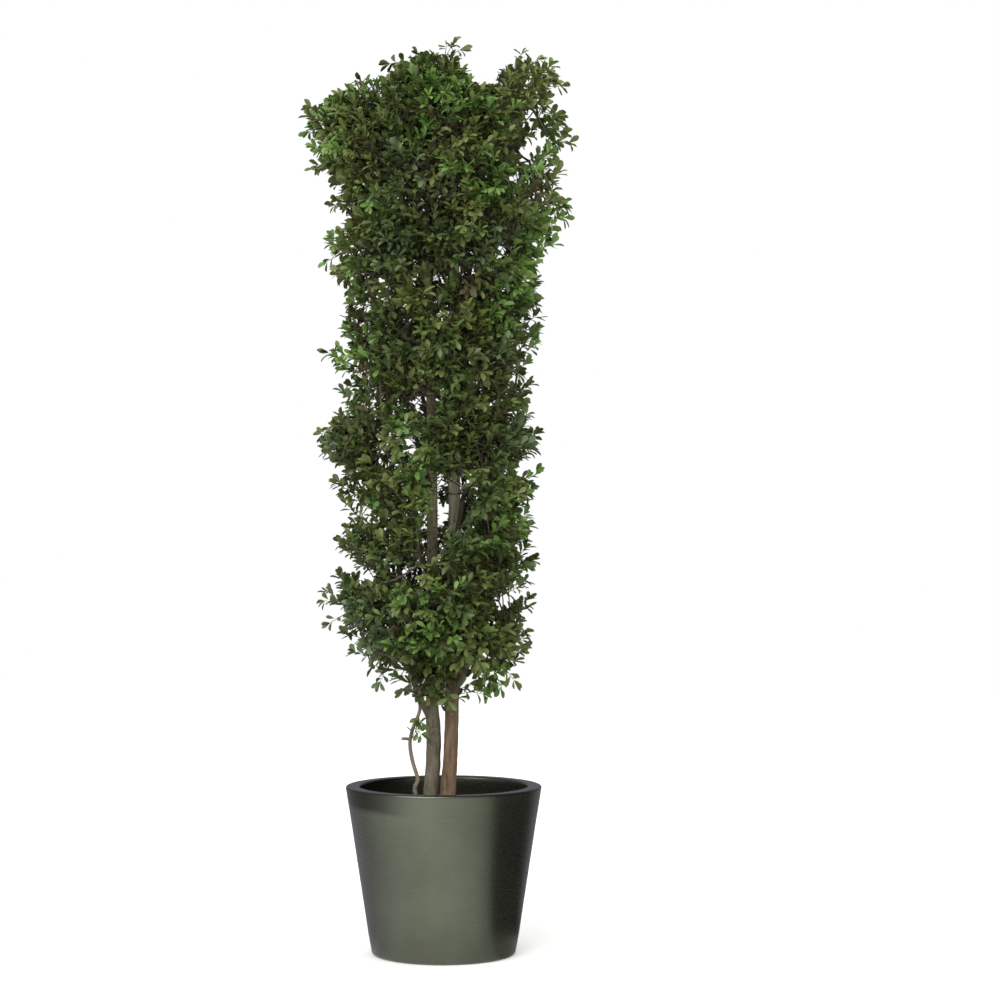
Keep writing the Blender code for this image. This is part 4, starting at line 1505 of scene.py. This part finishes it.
@functools.cache
def grown_crown(fine_twigs, seed):
    """The plant's limbs, its twigs and its shoots."""
    tables = {"right": RIGHT_STEM, "left": LEFT_STEM, "sucker": SUCKER}
    stems = {name: stem_stations(table) for name, table in tables.items()}
    masses = crown_masses(stems["sucker"][-1][0])
    carriers = {"head": stems["right"], "head_left": stems["left"], "low": stems["sucker"]}
    boughs = []
    for mass in masses:
        if mass.name not in carriers:
            carriers[mass.name] = bough_stations(mass, stems)
            boughs.append(carriers[mass.name])
        mass.stem = mass_stem(mass, carriers[mass.name])
    for point in surface_points(TWIGS):
        nearest_mass(point, masses).targets.append(point)

    twigs = []
    shoots = []
    trunks = list(stems.values())
    skeletons = {}
    for mass in masses:
        chance = random.Random(f"{seed} twigs {mass.name}")
        others = [*trunks, *boughs, *(other.stem for other in masses if other is not mass)]
        grown = list(main_twigs(mass, masses, others, chance))
        twigs += grown
        skeletons[mass] = [p for twig in (mass.stem, *grown) for p, _ in twig[1:]]
        for twig in grown:
            outward = outward_at(twig[-1][0])
            shoots += spray_of_shoots(twig, outward, TWIG_INSET, trunks, chance)

    for k, point in enumerate(surface_points(fine_twigs)):
        chance = random.Random(f"{seed} fine twig {k}")
        outward = outward_at(point)
        depth = FINE_TWIG_DEPTHS[k % len(FINE_TWIG_DEPTHS)] * chance.uniform(0.90, 1.15)
        tip = point - outward * depth + any_way(chance) * 0.016
        mass = nearest_mass(tip, masses)
        if in_sky_gap(tip, GAP_MARGIN) or not in_outline(tip) or not kept(tip, chance):
            continue
        twig = fine_twig(tip, outward, skeletons[mass], chance)
        if twig and clear_of_limbs(tip, trunks, SHOOT_CLEARANCE):
            sprays = spray_of_shoots(twig, outward, depth, trunks, chance)
            if sprays:
                twigs.append(twig)
                shoots += sprays
    for tip in LEADERS:
        tip = Vector(tip)
        mass = nearest_mass(tip, masses)
        root = min(skeletons[mass], key=lambda p: (p - tip).length)
        middle = root.lerp(tip, 0.45)
        twigs.append(tapering(bend(root, root.lerp(middle, 0.5), middle, 5), FINE_TWIG_RADIUS, SHOOT_RADIUS))
        tint = tint_at(tip, 0.0, chance)
        places = bend(middle, middle.lerp(tip, 0.5) + Vector((0, 0, 0.01)), tip, 5)
        shoots.append(Shoot(tapering(places, SHOOT_RADIUS, SHOOT_TIP_RADIUS), tint))
    for foot, tip in SUCKER_SPRIGS:
        foot = Vector(foot)
        tip = Vector(tip)
        shoots.append(Shoot(tapering(bend(foot, foot.lerp(tip, 0.5), tip, 4), SHOOT_RADIUS, SHOOT_TIP_RADIUS), "middle"))
    inner = [mass.stem for mass in masses if mass.name not in ("low",)]
    return {"boughs": boughs, "inner": inner, "twigs": twigs, "shoots": shoots, "low": masses[-1].stem}


def crown_now(context):
    looks = context.scene.pittosporum_foliage
    return grown_crown(looks.fine_twigs, looks.seed)


# Leaves


LEAF_STATIONS = ((0.14, 0.10), (0.42, 0.36), (0.70, 0.50), (0.90, 0.32))
LEAF_KINDS = ((0.34, 0.10, 0.0), (0.52, 0.22, 0.06), (0.22, -0.08, -0.05), (0.42, 0.30, -0.08), (0.62, 0.04, 0.04))


def leaf_pattern(name, length, width, fold, droop, sway):
    """A leaf along +X, widest past its middle, folded along its midrib and bent along its length."""
    mesh = bpy.data.meshes.new(name)

    def midrib(t):
        return Vector((length * t, width * sway * math.sin(math.pi * t), -length * droop * t * t))

    points = [midrib(0)]
    for t, half in LEAF_STATIONS:
        middle = midrib(t)
        side = Vector((0, width * half, width * half * fold))
        points += [middle + side, middle, middle + Vector((side.x, -side.y, side.z))]
    points.append(midrib(1))
    last = len(points) - 1
    faces = [(0, 2, 1), (0, 3, 2)]
    for k in range(1, last - 3, 3):
        faces += [(k, k + 1, k + 4, k + 3), (k + 1, k + 2, k + 5, k + 4)]
    faces += [(last - 3, last - 2, last), (last - 2, last - 1, last)]
    mesh.from_pydata(points, [], faces)
    mesh.shade_smooth()
    return mesh


def pattern_collection(name, meshes):
    """A collection of patterns for instancing, outside the scene."""
    made = bpy.data.collections.new(name)
    for k, mesh in enumerate(meshes):
        made.objects.link(bpy.data.objects.new(f"{name} {k}", mesh))
    return made


def drop_patterns(collection):
    for obj in list(collection.objects):
        bpy.data.objects.remove(obj, do_unlink=True)
    bpy.data.collections.remove(collection)


TINT_COLOURS = {
    "deep": (0.062, 0.092, 0.024),
    "middle": (0.098, 0.139, 0.034),
    "olive": (0.122, 0.148, 0.040),
    "fresh": (0.112, 0.204, 0.043),
    "bright": (0.156, 0.262, 0.056),
    "dull": (0.086, 0.124, 0.050),
    "old": (0.088, 0.079, 0.033),
}


# Operators


class PITTOSPORUM_OT_planter(bpy.types.Operator):
    """Turn the planter with its wide flat lip, in satin metal"""

    bl_idname = "pittosporum.make_planter"
    bl_label = "Planter"

    def execute(self, context):
        looks = context.scene.pittosporum_planter
        piece = turned("planter_shell", planter_profile(), looks.steps)
        piece.data.materials.append(metal_material(looks))
        finish_piece(piece, "planter", ["planter"])
        return {"FINISHED"}


class PITTOSPORUM_OT_soil(bpy.types.Operator):
    """Fill the planter with crumbly potting soil"""

    bl_idname = "pittosporum.make_soil"
    bl_label = "Soil"

    def execute(self, context):
        looks = context.scene.pittosporum_soil
        finish = soil_material(looks)
        surface = soil_surface("potting_soil", finish)
        crumbs = pattern_collection("crumb", [crumb_pattern(k) for k in range(4)])
        strewn = new_object("soil_crumbs", surface.data.copy())
        values = {
            "Crumbs": crumbs,
            "Density": looks.crumb_density,
            "Largest": looks.crumb_size,
            "Seed": 5,
            "Material": finish,
        }
        run_nodes(strewn, crumb_tree(), values)
        drop_patterns(crumbs)
        for piece in (surface, strewn):
            finish_piece(piece, "soil", ["soil_fill"])
        return {"FINISHED"}


class PITTOSPORUM_OT_stems(bpy.types.Operator):
    """Grow the two stems and the sucker, with bark in relief"""

    bl_idname = "pittosporum.make_stems"
    bl_label = "Stems"

    def execute(self, context):
        looks = context.scene.pittosporum_bark
        # Higher up, each stem turns to a paler bark colour: partly its own hue, partly painted light against the
        # crown's shade.
        red = bark_material("reddish bark", looks.red, UPPER_GREY_PAINTED_LIGHT, (0.85, 1.15), 0.22, looks)
        grey = bark_material("grey bark", looks.grey, UPPER_RED_PAINTED_LIGHT, (0.80, 1.05), 0.36, looks)
        thin = bark_material("thin grey bark", looks.grey, looks.grey, (0.0, 1.0), 0.30, looks)
        stems = (
            ("stem_right_bark", "stem_right", "red_bark", RIGHT_STEM, red, 28, 1.0),
            ("stem_left_bark", "stem_left", "grey_bark", LEFT_STEM, grey, 28, 2.0),
            ("sucker_bark", "stem_sucker", "grey_bark", SUCKER, thin, 12, 3.0),
        )
        for name, node, slot, table, finish, sides, seed in stems:
            limbs = [stem_stations(table, 4)]
            if table is SUCKER:
                limbs.append([(Vector(p), r) for p, r in zip(SUCKER_STUB, SUCKER_STUB_RADII)])
            piece = limb_paths(name, limbs)
            values = {
                "Sides": sides,
                "Ring Spacing": looks.ring_spacing,
                "Relief": looks.relief / 0.020,
                "Knots": 0.22,
                "Seed": seed,
                "Material": finish,
            }
            run_nodes(piece, limb_tree(), values)
            finish_piece(piece, slot, [node])
        return {"FINISHED"}


class PITTOSPORUM_OT_boughs(bpy.types.Operator):
    """Grow the boughs, and carry each on into its mass of foliage"""

    bl_idname = "pittosporum.make_boughs"
    bl_label = "Boughs"

    def execute(self, context):
        looks = context.scene.pittosporum_bark
        grown = crown_now(context)
        bough_colour = darker(looks.grey, 0.70)
        finish = bark_material("bough bark", bough_colour, bough_colour, (0.0, 1.0), 0.2, looks)
        piece = limb_paths("boughs_bark", [*grown["boughs"], *grown["inner"], grown["low"]])
        values = {
            "Sides": 14,
            "Ring Spacing": looks.ring_spacing * 1.6,
            "Relief": looks.relief / 0.020,
            "Knots": 0.26,
            "Seed": 4.0,
            "Material": finish,
        }
        run_nodes(piece, limb_tree(), values)
        finish_piece(piece, "grey_bark", BOUGH_NODES)
        return {"FINISHED"}


class PITTOSPORUM_OT_twigs(bpy.types.Operator):
    """Grow the twigs and the shoots that carry the leaves"""

    bl_idname = "pittosporum.make_twigs"
    bl_label = "Twigs"

    def execute(self, context):
        grown = crown_now(context)
        bark = context.scene.pittosporum_bark
        twig_colour = darker(bark.grey, 0.50)
        woody = bark_material("twig bark", twig_colour, twig_colour, (0.0, 1.0), 0.1, bark)
        young = bark_material("young shoot bark", (0.075, 0.080, 0.040), (0.075, 0.080, 0.040), (0.0, 1.0), 0.1, bark)
        shoots = [shoot.stations for shoot in grown["shoots"]]
        for name, limbs, finish, sides, spacing in (
            ("twigs", grown["twigs"], woody, 5, 0.024),
            ("shoots", shoots, young, 4, 0.026),
        ):
            piece = limb_paths(name, limbs)
            values = {
                "Sides": sides,
                "Ring Spacing": spacing,
                "Relief": 0.0,
                "Knots": 0.3,
                "Seed": 6.0,
                "Material": finish,
            }
            run_nodes(piece, limb_tree(), values)
            finish_piece(piece, "grey_bark", FOLIAGE_NODES)
        return {"FINISHED"}


class PITTOSPORUM_OT_leaves(bpy.types.Operator):
    """Set the leaves along the shoots, each tint in a piece of its own"""

    bl_idname = "pittosporum.make_leaves"
    bl_label = "Leaves"

    def execute(self, context):
        looks = context.scene.pittosporum_foliage
        grown = crown_now(context)
        patterns = [
            leaf_pattern("leaf", looks.leaf_length, looks.leaf_width, *kind) for kind in LEAF_KINDS
        ]
        leaves = pattern_collection("leaf", patterns)
        for k, tint in enumerate(LEAF_TINTS):
            shoots = [shoot.stations for shoot in grown["shoots"] if shoot.tint == tint]
            piece = limb_paths(f"leaves_{tint}", shoots)
            values = {
                "Leaves": leaves,
                "Spacing": looks.leaf_spacing,
                "Tip Leaves": looks.tip_leaves,
                "Seed": looks.seed + 10 * k,
                "Material": leaf_material(f"preserved leaf, {tint}", TINT_COLOURS[tint]),
            }
            run_nodes(piece, leaf_tree(), values)
            finish_piece(piece, "leaves", FOLIAGE_NODES)
        drop_patterns(leaves)
        return {"FINISHED"}


class PITTOSPORUM_OT_stage(bpy.types.Operator):
    """Set the pale floor, the soft lights and the camera"""

    bl_idname = "pittosporum.make_stage"
    bl_label = "Stage"

    def execute(self, context):
        looks = context.scene.pittosporum_stage
        make_floor(looks)
        make_world(context.scene, looks)
        make_lights(looks)
        make_camera(context.scene, looks)
        context.scene.view_settings.view_transform = "Standard"
        return {"FINISHED"}


# Turned pieces and soil


def arc(centre, radius, start, end, steps=5):
    """Points of an arc in the profile's plane, angles in degrees."""
    turns = (math.radians(start + (end - start) * k / steps) for k in range(steps + 1))
    return [(centre[0] + radius * math.cos(a), centre[1] + radius * math.sin(a)) for a in turns]


def outer_radius(z):
    """Radius of the planter's outer face at a height."""
    return PLANTER_BASE_RADIUS + (PLANTER_TOP_RADIUS - PLANTER_BASE_RADIUS) * z / PLANTER_HEIGHT


def planter_profile():
    """Inner wall below the soil, up under the lip, over it, down the outer face, and the base."""
    top, rim, base = PLANTER_HEIGHT, LIP_ROUNDING, BASE_ROUNDING
    lip_inside = PLANTER_TOP_RADIUS - LIP_WIDTH
    under_lip = top - LIP_DEPTH
    hidden = SOIL_LEVEL - 0.030
    wall = [(outer_radius(hidden + (base - hidden) * k / 8), hidden + (base - hidden) * k / 8) for k in range(8)]
    return [
        (outer_radius(hidden) - WALL, hidden),
        (outer_radius(under_lip - LIP_WIDTH) - WALL, under_lip - LIP_WIDTH),
        (lip_inside, under_lip),
        *arc((lip_inside + rim, top - rim), rim, 180, 90),
        *arc((PLANTER_TOP_RADIUS - rim, top - rim), rim, 90, 0),
        *wall,
        *arc((PLANTER_BASE_RADIUS - base, base), base, 0, -90),
        (0, 0),
    ]


def turned(name, profile, steps):
    """A shape turned about Z from a profile of (radius, z), which ends down its outer side."""
    mesh = bpy.data.meshes.new(name)
    work = bmesh.new()
    points = [work.verts.new((r, 0, z)) for r, z in profile]
    for a, b in zip(points, points[1:]):
        work.edges.new((a, b))
    bmesh.ops.spin(
        work,
        geom=[*work.verts, *work.edges],
        axis=(0, 0, 1),
        cent=(0, 0, 0),
        steps=steps,
        angle=2 * math.pi,
        use_merge=True,
    )
    bmesh.ops.remove_doubles(work, verts=work.verts, dist=0.00001)
    bmesh.ops.recalc_face_normals(work, faces=work.faces)
    work.to_mesh(mesh)
    work.free()
    mesh.shade_smooth()
    mesh.set_sharp_from_angle(angle=math.radians(35))
    return new_object(name, mesh)


def soil_surface(name, finish):
    """The top of the soil, lumpy, a little lower at the wall."""
    radius = outer_radius(SOIL_LEVEL) - WALL - SEAT_GAP
    mesh = bpy.data.meshes.new(name)
    work = bmesh.new()
    rings, sides = 26, 96
    bmesh.ops.create_grid(work, x_segments=rings * 3, y_segments=rings * 3, size=radius)
    for point in work.verts:
        x, y = point.co.x / radius, point.co.y / radius
        # A square grid drawn onto the disc
        point.co.x = radius * x * math.sqrt(1 - y * y / 2)
        point.co.y = radius * y * math.sqrt(1 - x * x / 2)
        share = point.co.to_2d().length / radius
        lumps = noise.fractal(point.co * 55, 0.9, 2.1, 4) * 0.0030 * (1 - share**6)
        point.co.z = SOIL_LEVEL - 0.003 - SOIL_EDGE_DROP * share**2 + lumps
    work.to_mesh(mesh)
    work.free()
    mesh.shade_smooth()
    mesh.materials.append(finish)
    return new_object(name, mesh)


def crumb_pattern(kind):
    """A flat, broken crumb of bark."""
    chance = random.Random(f"crumb {kind}")
    work = bmesh.new()
    bmesh.ops.create_icosphere(work, subdivisions=1, radius=0.5)
    for point in work.verts:
        point.co *= chance.uniform(0.7, 1.15)
        point.co.y *= 0.6
        point.co.z *= 0.34
    mesh = bpy.data.meshes.new("crumb")
    work.to_mesh(mesh)
    work.free()
    return mesh


# Stage


def reflected_light(tree, place):
    """What glossy surfaces see round the plant: brighter to the front left, dark to the right."""
    parts = add_node(tree, "ShaderNodeSeparateXYZ", {0: place}).outputs
    turn = calculate(tree, "ARCTAN2", parts["X"], calculate(tree, "MULTIPLY", parts["Y"], -1.0))
    share = add_node(
        tree,
        "ShaderNodeMapRange",
        {0: turn, 1: -math.pi, 2: math.pi, 3: 0.0, 4: 1.0},
    )
    ramp = add_node(tree, "ShaderNodeValToRGB", {0: share.outputs[0]})
    ramp.color_ramp.interpolation = "EASE"
    stops = ramp.color_ramp.elements
    stops.remove(stops[1])
    for k, (degrees, tone) in enumerate(REFLECTED_TONES):
        stop = stops[0] if k == 0 else stops.new((degrees + 180) / 360)
        stop.position = (degrees + 180) / 360
        stop.color = (*tone, 1)
    return ramp.outputs["Color"]


def make_floor(looks):
    """A wide floor that melts into the backdrop far away."""
    mesh = bpy.data.meshes.new("floor")
    work = bmesh.new()
    bmesh.ops.create_circle(work, cap_ends=True, segments=96, radius=60)
    work.to_mesh(mesh)
    work.free()
    floor = new_object("floor", mesh)
    made, tree, shader = new_material("pale floor", looks.floor, 0.9)
    place = add_node(tree, "ShaderNodeTexCoord").outputs["Object"]
    far = add_node(tree, "ShaderNodeVectorMath", {0: place}, operation="LENGTH").outputs["Value"]
    fade = add_node(
        tree,
        "ShaderNodeMapRange",
        {0: far, 1: 2.5, 2: 11.0, 3: 0.0, 4: 1.0},
        interpolation_type="SMOOTHSTEP",
    ).outputs[0]
    glow = add_node(tree, "ShaderNodeEmission", {"Color": (*looks.backdrop, 1)})
    melted = add_node(tree, "ShaderNodeMixShader", {0: fade, 1: shader.outputs[0], 2: glow.outputs[0]})
    # Painted reflections: glossy rays see the floor glow with the reflected tones instead of its lit colour.
    near = add_node(
        tree, "ShaderNodeMapRange", {0: far, 1: FOOT_REACH[0], 2: FOOT_REACH[1], 3: 1.0, 4: 0.0}
    ).outputs[0]
    tones = blend_colours(tree, near, reflected_light(tree, place), FOOT_TONE, "LIGHTEN")
    mirrored = add_node(tree, "ShaderNodeEmission", {"Color": tones})
    glossy = add_node(tree, "ShaderNodeLightPath").outputs["Is Glossy Ray"]
    mix = add_node(
        tree, "ShaderNodeMixShader", {0: glossy, 1: melted.outputs[0], 2: mirrored.outputs[0]}
    )
    tree.links.new(mix.outputs[0], tree.nodes["Material Output"].inputs["Surface"])
    mesh.materials.append(made)


def make_world(scene, looks):
    """Soft light from all round, brighter above, behind a plain backdrop."""
    world = bpy.data.worlds.new("studio")
    scene.world = world
    world.use_nodes = True
    tree = world.node_tree
    tree.nodes.clear()
    way = add_node(tree, "ShaderNodeTexCoord").outputs["Generated"]
    height = add_node(tree, "ShaderNodeSeparateXYZ", {0: way}).outputs["Z"]
    lift = add_node(tree, "ShaderNodeMapRange", {0: height, 1: -0.2, 2: 1.0, 3: 0.75, 4: 1.35})
    strength = calculate(tree, "MULTIPLY", lift.outputs[0], looks.fill)
    light = add_node(tree, "ShaderNodeBackground", {"Color": (1.0, 1.0, 0.97, 1), "Strength": strength})
    mirrored = add_node(
        tree, "ShaderNodeBackground", {"Color": reflected_light(tree, way), "Strength": strength}
    )
    plain = add_node(tree, "ShaderNodeBackground", {"Color": (*looks.backdrop, 1), "Strength": 1.0})
    rays = add_node(tree, "ShaderNodeLightPath").outputs
    lit = add_node(
        tree,
        "ShaderNodeMixShader",
        {0: rays["Is Glossy Ray"], 1: light.outputs[0], 2: mirrored.outputs[0]},
    )
    mix = add_node(
        tree, "ShaderNodeMixShader", {0: rays["Is Camera Ray"], 1: lit.outputs[0], 2: plain.outputs[0]}
    )
    end = tree.nodes.new("ShaderNodeOutputWorld")
    tree.links.new(mix.outputs[0], end.inputs["Surface"])


def make_lights(looks):
    """Broad soft suns: the key from the front left, and weaker ones from the right and behind."""
    lights = (
        ("key", looks.key, (48, 0, -32), 50, True),
        ("side", looks.key * 0.44, (55, 0, 62), 70, False),
        ("back", looks.key * 0.45, (50, 0, 165), 60, False),
    )
    for name, strength, (tilt, roll, turn), spread, mirrored in lights:
        light = bpy.data.lights.new(name, "SUN")
        light.energy = strength
        light.angle = math.radians(spread)
        made = new_object(name, light)
        made.rotation_euler = (math.radians(tilt), math.radians(roll), math.radians(turn))
        made.visible_glossy = mirrored


def make_camera(scene, looks):
    camera = bpy.data.cameras.new("camera")
    camera.lens = looks.lens
    camera.sensor_width = SENSOR
    made = new_object("camera", camera)
    made.location = (CAMERA_X, -CAMERA_DISTANCE, CAMERA_HEIGHT)
    made.rotation_euler = (math.pi / 2 + CAMERA_TILT, 0, 0)
    scene.camera = made


# Panel and registration


STEPS = (
    "pittosporum.make_planter",
    "pittosporum.make_soil",
    "pittosporum.make_stems",
    "pittosporum.make_boughs",
    "pittosporum.make_twigs",
    "pittosporum.make_leaves",
    "pittosporum.make_stage",
)


class PITTOSPORUM_PT_panel(bpy.types.Panel):
    """Lists the pieces of the plant and their settings"""

    bl_label = "Pittosporum"
    bl_idname = "PITTOSPORUM_PT_panel"
    bl_space_type = "VIEW_3D"
    bl_region_type = "UI"
    bl_category = "Pittosporum"

    def draw(self, context):
        for step in STEPS:
            self.layout.operator(step)
        for name, looks in LOOKS.items():
            box = self.layout.box()
            box.label(text=looks.__name__)
            for setting in looks.__annotations__:
                box.prop(getattr(context.scene, name), setting)


CLASSES = (
    *LOOKS.values(),
    PITTOSPORUM_OT_planter,
    PITTOSPORUM_OT_soil,
    PITTOSPORUM_OT_stems,
    PITTOSPORUM_OT_boughs,
    PITTOSPORUM_OT_twigs,
    PITTOSPORUM_OT_leaves,
    PITTOSPORUM_OT_stage,
    PITTOSPORUM_PT_panel,
)


def register():
    for made in CLASSES:
        bpy.utils.register_class(made)
    for name, looks in LOOKS.items():
        setattr(bpy.types.Scene, name, PointerProperty(type=looks))


def unregister():
    for name in LOOKS:
        delattr(bpy.types.Scene, name)
    for made in reversed(CLASSES):
        bpy.utils.unregister_class(made)


def main():
    """Makes every piece."""
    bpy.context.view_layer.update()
    register()
    for step in STEPS:
        group, name = step.split(".")
        getattr(getattr(bpy.ops, group), name)()


if __name__ == "__main__":
    main()
